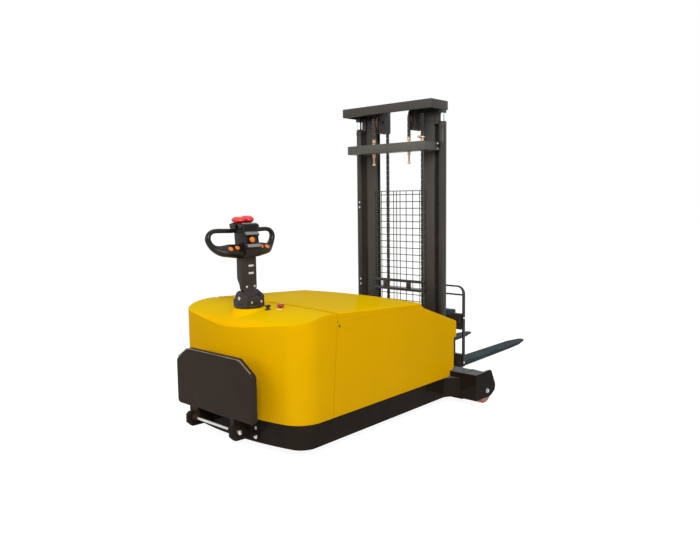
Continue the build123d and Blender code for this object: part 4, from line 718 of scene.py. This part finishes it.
horn = leaning(dome("horn_dome", at(horn_x, -46, horn_z), (0, -1, 0.1), 17, 14, 8))
settle(horn, "horn_button", "orange_plastic", "horn_button", angle=50)
for place, x, z in (("left_outer", 130, 1084), ("left_inner", 86, 1088), ("right_inner", -84, 1088),
                    ("right_outer", -130, 1084)):
    button = dome(f"dome_{place}", at(x, -16, z), (0, -1, 1), 14, 9, 5)
    settle(button, f"button_{place}", "orange_plastic", f"button_{place}", angle=50)
paddle = round_points((-6, 1206), 11, 60, 300, 9) + [(-34, 1196), (-41, 1201), (-41, 1211), (-34, 1217)]
paddles = [plate("paddle", set_up(side * 52.5, paddle), (side * 13, 0, 0), 3.5, 3) for side in both_ways]
settle(leaning(join("throttle_paddles", *paddles)), "thumb_throttle", "black_plastic", "thumb_throttle")

# %% [markdown]
# The outer mast is two rolled channels, bolted to the axle and tied together low down. A rolled section has round toes
# and a fillet inside, so its outline is drawn with those and extruded to full height. Clamps hold the lift cylinders
# to the columns, and a strip runs along each on the fork side. Everything is modelled on the left and mirrored.

# %% Outer mast
mast_low, mast_top = 45, 1880
tie_x, column_y = 150.3, 302
cylinder = (166, 368)
tube_radius, clamp_height = 23, 60


def both_sides(piece, name):
    """A piece joined with its mirror image on the other side of the truck."""
    return join(name, piece, mirrored(piece, name, (0, 1, 0)))


def clamp_ring(low, high, block_rear, block_inner, radius=30):
    """A clamp round a cylinder with a block that joins it to the column."""
    ring = bar("clamp", (*cylinder, low), (*cylinder, high), radius, 2, 40)
    block = slab("clamp_block", (block_rear, block_inner, low), (198, cylinder[1] - 4, high), 2, 2)
    return bored(join("clamp", ring, block), (*cylinder, low - 5), (*cylinder, high + 5), tube_radius + 0.2, 40)


channel = [(168, 212), (180, 212), (180, 281), (182.6, 287.4), (189, 290), (241, 290), (247.4, 287.4), (250, 281),
           (250, 250), (262, 250), (262, column_y), (168, column_y)]
mast_parts = [
    plate("column", [(x, y, mast_low) for x, y in channel], (0, 0, mast_top - mast_low), 2.5, 3),
    slab("seat", (tie_x, column_y, 185), (219, 399, 227), 4, 3),
    slab("tongue", (168, 212, mast_top - 5), (180, column_y, 1938), 2, 2),
    slab("strip", (198, column_y, 215), (206, 375, 1868), 2, 2)]
mast_parts += [clamp_ring(level, level + clamp_height, 170, column_y) for level in (718, 1284)]
outer_columns = both_sides(join("outer_columns", *mast_parts), "outer_columns")
tie = slab("mast_tie", (tie_x, -column_y, mast_low), (168, column_y, 330), 4, 3)
settle(join("outer_mast_frame", outer_columns, tie), "chassis", "mast_paint", "outer_mast")

# %% [markdown]
# Across the back runs a folded channel that carries the fixed ends of the chains. Its arms reach forward to the
# columns and end in clamps on the cylinders.

# %% Rear bar
bar_low, bar_high = 1674, 1733
fold = [(-2, bar_low), (98, bar_low), (98, bar_low + 9), (7, bar_low + 9), (7, bar_high - 9), (98, bar_high - 9),
        (98, bar_high), (-2, bar_high)]
rear_bar = plate("rear_bar", [(x, -330, z) for x, z in fold], (0, 660, 0), 3, 3)
arm = slab("bar_arm", (-2, 328, bar_low), (167.7, 340, bar_high), 3, 3)
seat = slab("bar_seat", (155.7, 262, bar_low), (167.7, 330, bar_high), 2, 2)
clamp = clamp_ring(bar_low, bar_high, 136, 338, 34)
half = both_sides(join("bar_half", arm, seat, clamp), "bar_half")
# The rear bar's finish is the mast paint made paler: a painted sheen for the light its face catches.
bar_painted_sheen = finish("bar_painted_sheen", screen(82, 80, 74), 0.42, specular=0.35, tone=0.14, ripple=0.0005, grain=600,
                  worn=(0.26, 0.25, 0.24))
settle(join("rear_bar_frame", rear_bar, half), "chassis", "mast_paint", "mast_rear_bar", look=bar_painted_sheen)
clamp_spots = [(136, side * 352, z) for side in both_ways for z in (bar_low + 12, bar_high - 14)]
clamp_spots += [(138, 344, 724), (138, 344, 761), (138, 349, 1296), (138, 349, 1333)]
screwed("mast_screws", socket_screw(7.5, 6), [(spot, (-1, 0, 0)) for spot in clamp_spots], "chassis", "mast_bolts")

# %% [markdown]
# The guard between the columns is a welded grid of thin round wire with two flat rails across it. One wire is a plain
# long cylinder, but the guard is nearly thirty of them in two layers that touch, as a welding machine lays them.

# %% Mesh guard
guard_half, wire_radius, wire_step = 226, 2.7, 47.1
rail_rear, rail_front = 150.7, 161
wire_levels = [1410, 1384] + [1334 - wire_step * i for i in range(17)]
wires = [bar("wire", (165, -guard_half, z), (165, guard_half, z), wire_radius, 0, 10) for z in wire_levels]
wires += [bar("wire", (160.4, y, 560), (160.4, y, 1412), wire_radius, 0, 10)
          for y in (-222, -183, -122, -65, -11, 21, 48, 95, 160, 222)]
rails = [slab("rail", (rail_rear, -guard_half, low), (rail_front, guard_half, high))
         for low, high in ((698, 718), (760, 779))]
rails += [slab("rail_block", (rail_rear, y - 17, 714), (rail_front, y + 17, 764)) for y in (-90, 126)]
settle(join("wire_guard", *wires, *rails), "chassis", "mast_paint", "mesh_guard")

# %% [markdown]
# The lift cylinders are plain tubes with a gland nut on top that guides the chromed rod. The nut has six holes for a
# pin spanner, drilled in one after another.

# %% Lift cylinders
tube_low, spanner_z = 227, 1840
tube_profile = [(0, 23), (1500, 23), (1502, 24), (1507, 24), (1509, 23), (1598, 23), (1599, 24.5), (1602, 25.5),
                (1624, 25.5), (1627, 24.5), (1629, 22), (1641, 21.5), (1641.5, 19)]
tubes = turned("tube", (*cylinder, tube_low), (0, 0, 1), tube_profile)
for start, end in zip(round_points(cylinder, 22, 0, 300, 6), round_points(cylinder, 27, 0, 300, 6)):
    bored(tubes, (*start, spanner_z), (*end, spanner_z), 2.5, 12)
settle(both_sides(tubes, "lift_tubes"), "chassis", "mast_paint", "lift_cylinders")

# %% [markdown]
# The inner mast runs inside the outer one: two I-beams, a tie, and a deep top bar that the rods push up. Under the bar
# hang the cheeks of the chain pulleys.

# %% Inner mast
chain_y = 156
pulley_x, pulley_z = 154, 1898
beam = [(184, 238), (193, 238), (193, 255), (196, 258), (234, 258), (237, 255), (237, 238), (246, 238), (246, 286),
        (237, 286), (237, 269), (234, 266), (196, 266), (193, 269), (193, 286), (184, 286)]
pulley_cheek = [(108, 1992), (108, 1830), (114, 1824), (230, 1824), (236, 1830), (236, 1992)]
pin_profile = [(0, 15), (3, 15), (4.5, 13), (5, 8), (8, 8), (9, 6.5)]
inner_parts = [
    plate("beam", [(x, y, 110) for x, y in beam], (0, 0, 1885), 1.5, 2),
    slab("head_plate", (184.4, 206, 1838), (192.6, 288, 1945), 2, 2),
    slab("rod_bracket", (160, 304, 1852), (196, 340, 1945), 3, 2),
    slab("rod_seat", (146, 348, 1922), (186, 388, 1992), 3, 2)]
for near, thick in ((chain_y + 17.4, 8), (chain_y - 17.4, -8)):
    inner_parts.append(plate("cheek", [(x, near, z) for x, z in pulley_cheek], (0, thick, 0), 2, 2))
    inner_parts.append(turned("pin_head", (pulley_x, near + thick, pulley_z), (0, thick, 0), pin_profile, 24))
inner_half = both_sides(join("inner_half", *inner_parts), "inner_half")
top_bar = slab("top_bar", (4, -391, 1941), (200, 391, 2002), 5, 3)
cut(top_bar, slab("top_bar_inside", (16, -379, 1900), (188, 379, 1990), 2, 1))
cut(top_bar, slab("top_bar_front", (180, -128, 1930), (215, 128, 1977), 2, 1))
inner_tie = slab("inner_tie", (184, -240, 130), (193, 240, 260), 2, 2)
settle(join("inner_mast_frame", inner_half, top_bar, inner_tie), "inner_mast", "mast_paint", "inner_mast")

# %% [markdown]
# Each chain pulley is turned from a disc: a hub, a thin web, a rim with a flat groove for the chain between two
# flanges. Half the profile is drawn and the other half is its mirror image.

# %% Chain pulleys
half_groove = [(-17, 16), (-17, 58), (-16.5, 66), (-16.5, 73), (-15, 74.5), (-11.5, 74.5), (-10.4, 73), (-10.4, 69)]
groove = half_groove + [(-place, radius) for place, radius in reversed(half_groove)]
pulley = turned("pulley", (pulley_x, chain_y, pulley_z), (0, 1, 0), groove, 64)
pulley_bronze = finish("pulley_bronze", screen(92, 66, 52), 0.35, metal=0.5, tone=0.2)
settle(both_sides(pulley, "turned_pulleys"), "chain_pulleys", "black_paint", "chain_pulleys", look=pulley_bronze)

# %% [markdown]
# The lift chains are leaf chains: stacks of eight-shaped plates on pins, wide links and narrow links in turn. Two
# links are modelled with few faces, because there are nearly two hundred of them, and set one after another along the
# line from the rear bar over the pulley to the carriage. The runs behind and in front of the mast change length as it
# lifts; here they hang on no body and stay as they are at rest.

# %% Lift chains
link_pitch = 19.0
wrap = 78  # from the pulley's axis to the line of the pins


def leaf_link(offsets, thick):
    """One link: eight-shaped plates at these places across the chain, and the pin at its first joint."""
    outline = (round_points((0, link_pitch), 8.2, 20, 160, 5) + [(-5.6, link_pitch / 2)]
               + round_points((0, 0), 8.2, 200, 340, 5) + [(5.6, link_pitch / 2)])
    leaves = [plate("leaf", [(x, offset - thick / 2, z) for x, z in outline], (0, thick, 0), 0) for offset in offsets]
    return join("leaf_link", *leaves, bar("leaf_pin", (0, -10, 0), (0, 10, 0), 4, 0, 8))


wide_link = leaf_link((-8.2, 0, 8.2), 3.0)
narrow_link = leaf_link((-4.4, 4.4), 3.6)


def chain_run(name, joints):
    """Links from joint to joint, each joint a place (x, z), for both chains."""
    made = []
    for index, (start, end) in enumerate(zip(joints, joints[1:])):
        step = Vector((end[0] - start[0], 0, end[1] - start[1]))
        turn = step.to_track_quat("Z", "Y").to_matrix().to_4x4()
        size = Matrix.Scale(step.length / link_pitch, 4, Vector((0, 0, 1)))
        for y in (-chain_y, chain_y):
            place = Matrix.Translation(mm(start[0], y, start[1]))
            made.append(twin(narrow_link if index % 2 else wide_link, name, place @ turn @ size))
    return join(name, *made)


rear_x, front_x = pulley_x - wrap, pulley_x + wrap
rear_end, front_end = 1770, 464
rear_joints = [(rear_x, rear_end + (pulley_z - rear_end) * i / 7) for i in range(8)]
over_joints = round_points((pulley_x, pulley_z), wrap, 180, 0, 14)
front_joints = [(front_x, pulley_z - (pulley_z - front_end) * i / 75) for i in range(76)]
rear_run = settle(chain_run("chain_rear_run", rear_joints), None, "chain_steel", "chain_rear_lengths")
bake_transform(rear_run)
settle(chain_run("chain_over_run", over_joints), "inner_mast", "chain_steel", "chain_front_lengths")
front_run = settle(chain_run("chain_front_run", front_joints), None, "chain_steel", "chain_front_lengths")
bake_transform(front_run)
for model in (wide_link, narrow_link):
    bpy.data.objects.remove(model)

# %% [markdown]
# The chains are adjusted with plated threaded rods through the rear bar, with nuts above and below. The thread is a
# row of small ridges, close enough to a helix at this size. A brass elbow on the bar is the bleed fitting.

# %% Chain anchors
def hex_nut(across, height):
    """A hexagon nut with chamfered corners, standing on z = 0."""
    return soften(bar("hex_nut", (0, 0, 0), (0, 0, height), across / math.sqrt(3), 0, 6), 0.9)


thread = [(0, 6.2)]
for ridge in range(62):
    thread += [(2.6 * ridge + 0.6, 7.0), (2.6 * ridge + 1.9, 6.2)]
rod = turned("anchor_rod", (rear_x, chain_y, 1590), (0, 0, 1), thread, 14)
nut_spots = [((rear_x, chain_y, z), (0, 0, 1)) for z in (1592, 1648, 1661, bar_high + 0.5)]
nuts = copies(hex_nut(20, 12), "anchor_nuts", nut_spots)
washers = [bar("washer", (rear_x, chain_y, z), (rear_x, chain_y, z + 2.2), 15, 0.5, 28) for z in (1670.8, bar_high)]
clevis = slab("clevis", (69, 145.6, 1748), (83, 166.4, 1776), 3, 2)
anchors = both_sides(join("anchor", rod, nuts, *washers, clevis), "anchors")
elbow_low = turned("elbow_low", (40, -296, bar_high), (0, 0, 1),
                   [(0, 11), (8, 11), (9, 8), (24, 8), (30, 9), (34, 7)], 20)
elbow_side = turned("elbow_side", (44, -298, 1760), (-1, 0.7, 0.1),
                    [(-8, 8), (10, 8), (11, 10.5), (24, 10.5), (25, 6.5), (40, 5.5)], 20)
settle(join("chain_anchor_set", anchors, elbow_low, elbow_side), "chassis", "plated_yellow", "chain_anchors")

# %% [markdown]
# The rider platform folds on a bright rod that runs through two brackets on the skirt. The rod is turned with a head
# at each end, and the brackets are held by hexagon bolts on washers, copied from the one modelled above.

# %% Platform hinge
pan_face_x, rod_length = -1495, 464
rod_end = [(0, 10.5), (1.5, 12.6), (23, 12.6), (25, 11), (25.5, 8)]
rod_profile = rod_end + [(rod_length - place, radius) for place, radius in reversed(rod_end)]
hinge_rod = turned("hinge_pin", (pan_face_x, -rod_length / 2, 140), (0, 1, 0), rod_profile, 32)
settle(hinge_rod, "chassis", "bright_steel", "hinge_rod")
bolt_face = 1000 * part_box("chassis_bolts")[1][0]
flange_spots = [((bolt_face, side * 218, z), (-1, 0, 0)) for side in both_ways for z in (86, 134)]
screwed("flange_bolts", hex_bolt(16, 5.5), flange_spots, "chassis", "chassis_bolts")

# %% [markdown]
# The moulding of the hood rises in a smooth flare to the turntable. The solid has a plain cone there, so a turned
# skirt with a hollow curve lies over it and runs out into the hood.

# %% Hood flare
flare_profile = [(0, 136), (8, 127), (18, 118), (30, 109), (42, 102), (50, 97), (56, 93.5), (58.4, 91), (58.7, 86)]
flare_z = 690
flare = turned("hood_flare", at(0, 0, flare_z), (0, 0, 1), flare_profile, 72)
bored(flare, at(0, 0, flare_z - 90), at(0, 0, flare_z + 110), 41, 48)
settle(flare, "chassis", "yellow_paint", angle=60)

# %% [markdown]
# On the hood sit the emergency stop, a red mushroom on a pale ring, and the key in its lock. Both are small, but they
# are what an eye looks for first, so the mushroom gets its waist and crown and the key its flat dark bow with a hole.
# Two dark catches hold the lid at the seam.

# %% Emergency stop and key
stop_x, stop_y, stop_z = -1160, -192, 1000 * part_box("estop_button")[1][2] - 18
mushroom = [(-17, 6.5), (0.6, 6.5), (1.0, 16.5), (2, 19), (4.4, 20), (10, 20), (14, 18), (16.8, 13), (17.9, 6)]
stop_red = finish("stop_red", screen(158, 22, 26), 0.32, tone=0.08, ripple=0.0002, edge=0.001, coat=0.1)
stop_cap = turned("stop_cap", (stop_x, stop_y, stop_z), (0, 0, 1), mushroom)
settle(stop_cap, "estop_button", "red_plastic", "estop_button", look=stop_red)
ring_profile = [(0, 27), (3, 27), (4.6, 25.5), (4.9, 22)]
ring = turned("stop_ring", (stop_x, stop_y, stop_z - 14.5), (0, 0, 1), ring_profile)
settle(bored(ring, (stop_x, stop_y, stop_z - 30), (stop_x, stop_y, stop_z + 5), 9, 32), "chassis", "pad_plastic")
key_low, key_top = (1000 * corner[2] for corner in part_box("ignition_key"))
key_x, key_y, bow_z = -1203, -136, key_top - 16
bow_arc = [(2 * x, 0.75 * z) for x, z in round_points((0, 0), 9.5, -45, 225, 15)]
bow_drawing = [(-5, -20), (5, -20), (6, -11)] + bow_arc + [(-6, -11)]
bow = plate("key_bow", [(key_x + x, key_y - 4, bow_z + z) for x, z in bow_drawing], (0, 8, 0), 2, 2)
bored(bow, (key_x + 12, key_y - 9, bow_z), (key_x + 12, key_y + 9, bow_z), 3.0, 20)
blade = bar("key_blade", (key_x, key_y, key_low), (key_x, key_y, key_top - 30), 5, 0.6, 24)
settle(join("key_in_lock", bow, blade), "ignition_key", "black_plastic", "ignition_key")
lock_profile = [(0, 18), (6.5, 18), (8, 16.5), (8.2, 13)]
lock = turned("lock_bezel", (key_x, key_y, key_top - 39), (0, 0, 1), lock_profile, 36)
settle(bored(lock, (key_x, key_y, key_top - 60), (key_x, key_y, key_top), 5.6, 24), "chassis", "black_plastic")
catch_x, cover_y, seam_z = -1040, 525.2, 672
catch_profile = [(0, 6.5), (2, 6.5), (3, 5), (3.2, 2)]
catches = [turned("lid_catch", (catch_x, side * cover_y, seam_z), (0, side, 0), catch_profile, 24)
           for side in both_ways]
settle(join("lid_catches", *catches), "chassis", "black_plastic")

# %% [markdown]
# A load wheel is an orange tread cast on a steel hub that runs on the axle pin. Tread and hub are turned profiles,
# bored through, so that the ring between them shows as it does on a real wheel.

# %% Load wheels
wheel_x, wheel_y, wheel_z = 168, 672, 85
tread_edge = [(-36, 62), (-38, 66), (-38, 77), (-35.5, 82), (-31, 85)]
hub_edge = [(-37, 17), (-37, 27), (-28, 30), (-26, 52), (-35, 55), (-35, 59.8)]
for kind, edge, sides, bore, bore_sides, finish_name in (("tread", tread_edge, 64, 60, 64, "orange_tread"),
                                                         ("hub", hub_edge, 48, 15.5, 40, "bearing_steel")):
    profile = edge + [(-place, radius) for place, radius in reversed(edge)]
    left = turned(f"{kind}_left", (wheel_x, wheel_y, wheel_z), (0, 1, 0), profile, sides)
    bored(left, (wheel_x, wheel_y - 52, wheel_z), (wheel_x, wheel_y + 48, wheel_z), bore, bore_sides)
    right = mirrored(left, f"{kind}_right", (0, 1, 0))
    settle(right, "load_wheel_right", finish_name, "load_wheel_right")
    settle(left, "load_wheel_left", finish_name, "load_wheel_left")

# %% [markdown]
# Under the lid the battery shows its cells: each has a vent plug, and flat lead straps join one cell to the next. They
# are seen only with the lid open, but a part that opens has to have something to find inside.

# %% Battery cells
columns, rows = 6, 4
battery_low, battery_high = [1000 * Vector(corner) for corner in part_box("battery_pack")]
cell_x = (battery_high.x - battery_low.x) / columns
cell_y = (battery_high.y - battery_low.y) / rows
battery_top = battery_high.z
plug_spots, straps = [], []
for row in range(rows):
    y = battery_low.y + cell_y * (row + 0.5)
    for column in range(columns):
        x = battery_low.x + cell_x * (column + 0.5)
        plug_spots.append(((x, y, battery_top), (0, 0, 1)))
        near = y + (45 if column % 2 else -45)
        if column < columns - 1:
            strap_low, strap_high = (x - 12, near - 11, battery_top), (x + cell_x + 12, near + 11, battery_top + 6)
            straps.append(slab("strap", strap_low, strap_high))
plug = turned("vent_plug", (0, 0, 0), (0, 0, 1), [(0, 17), (7, 17), (8.5, 15), (9, 6)], 24)
settle(copies(plug, "vent_plugs", plug_spots), "chassis", "pad_plastic")
settle(join("cell_straps", *straps), "chassis", "bearing_steel")

# %% [markdown]
# Each fork hangs on the carriage by its hook and is kept in place by a spring pin with a round knob on top of the
# hook. The knob is turned, stem and crown in one profile, and sinks a millimetre into the hook to leave no gap.

# %% Fork pins
hook_x, hook_y = 360, 260
knob_profile = [(0, 6), (9, 6), (10, 9.5), (11.5, 10.5), (20, 10.5), (22, 9), (23, 4)]
for side, y in (("left", hook_y), ("right", -hook_y)):
    hook_top = 1000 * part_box(f"fork_{side}")[1][2]
    knob = turned(f"fork_pin_{side}", (hook_x, y, hook_top - 1), (0, 0, 1), knob_profile, 18)
    settle(knob, f"fork_{side}", "bright_steel")

# %% [markdown]
# The load backrest is one bent bar: round on the posts, where bolts hold it to the carriage, and slimmer across the
# top. A ring of points is carried along the hoop, turned with it and drawn in on the way round each bend.

# %% Load backrest
backrest_x, post_y, rail_z = 360, 418, 675
ahead_x = Vector((1, 0, 0))


def piped(name, half_path, x, sides=14):
    """A round bar in the plane of this x: a path of (y, z, radius) and then its mirror image."""
    path = half_path + [(-y, z, radius) for y, z, radius in reversed(half_path) if y]
    rings = []
    for index, (y, z, radius) in enumerate(path):
        before, after = path[max(0, index - 1)], path[min(len(path) - 1, index + 1)]
        along = Vector((0, after[0] - before[0], after[1] - before[1])).normalized()
        rings.append(round_ring(Vector((x, y, z)), ahead_x, along.cross(ahead_x), radius, sides))
    return skin(name, rings, 0)


bend = round_points((50 - post_y, 684), 50, 180, 90, 9)
half_hoop = [(-post_y, 165, 11), (-post_y, 660, 11)] + [(y, z, 11 - 0.62 * i) for i, (y, z) in enumerate(bend)]
rail = bar("backrest_rail", (backrest_x, -post_y, rail_z), (backrest_x, post_y, rail_z), 6, 0, 16)
hoop = piped("hoop", half_hoop, backrest_x)
settle(join("backrest_hoop", hoop, rail), "carriage", "mast_paint", "backrest", angle=50)
post_spots = [((353, side * 425.5, z), (-0.6, 0.8 * side, 0)) for side in both_ways for z in (194, 513)]
screwed("post_screws", socket_screw(7, 5), post_spots, "carriage")

# %% [markdown]
# A pale line painted along the upper rim of the platform is a painted highlight: it stands for the light the rounded
# edge of the pan catches. It follows the cut corners of the pan, a few millimetres inside the edge.

# %% Platform rim
rim_in, cut_y, cut_z = 4.6, 115, 75
pan_y, pan_z = (1000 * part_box("platform_pan")[1][axis] for axis in (1, 2))
corner_y, rim_z = pan_y - cut_y, pan_z - rim_in
aside = Vector((-cut_z, cut_y)).normalized() * rim_in
half_rim = [(pan_y + aside.x - 11.76, pan_z - cut_z + aside.y + 9, 3),  # y, z, radius
            (corner_y + aside.x + 14, pan_z + aside.y - 9, 4), (corner_y + 1, rim_z - 2.2, 4.6),
            (corner_y - 14, rim_z, 3.6), (0, rim_z, 3.2)]
# The rim line's pale, patchy finish is a painted highlight.
rim_highlight_look = finish("rim_painted_highlight", screen(116, 107, 100), 0.35, tone=0.4, ripple=0.0003, scale=9.0)
rim = piped("rim_highlight_line", half_rim, pan_face_x + rim_in, 12)
settle(rim, "platform", "black_paint", look=rim_highlight_look, angle=60)
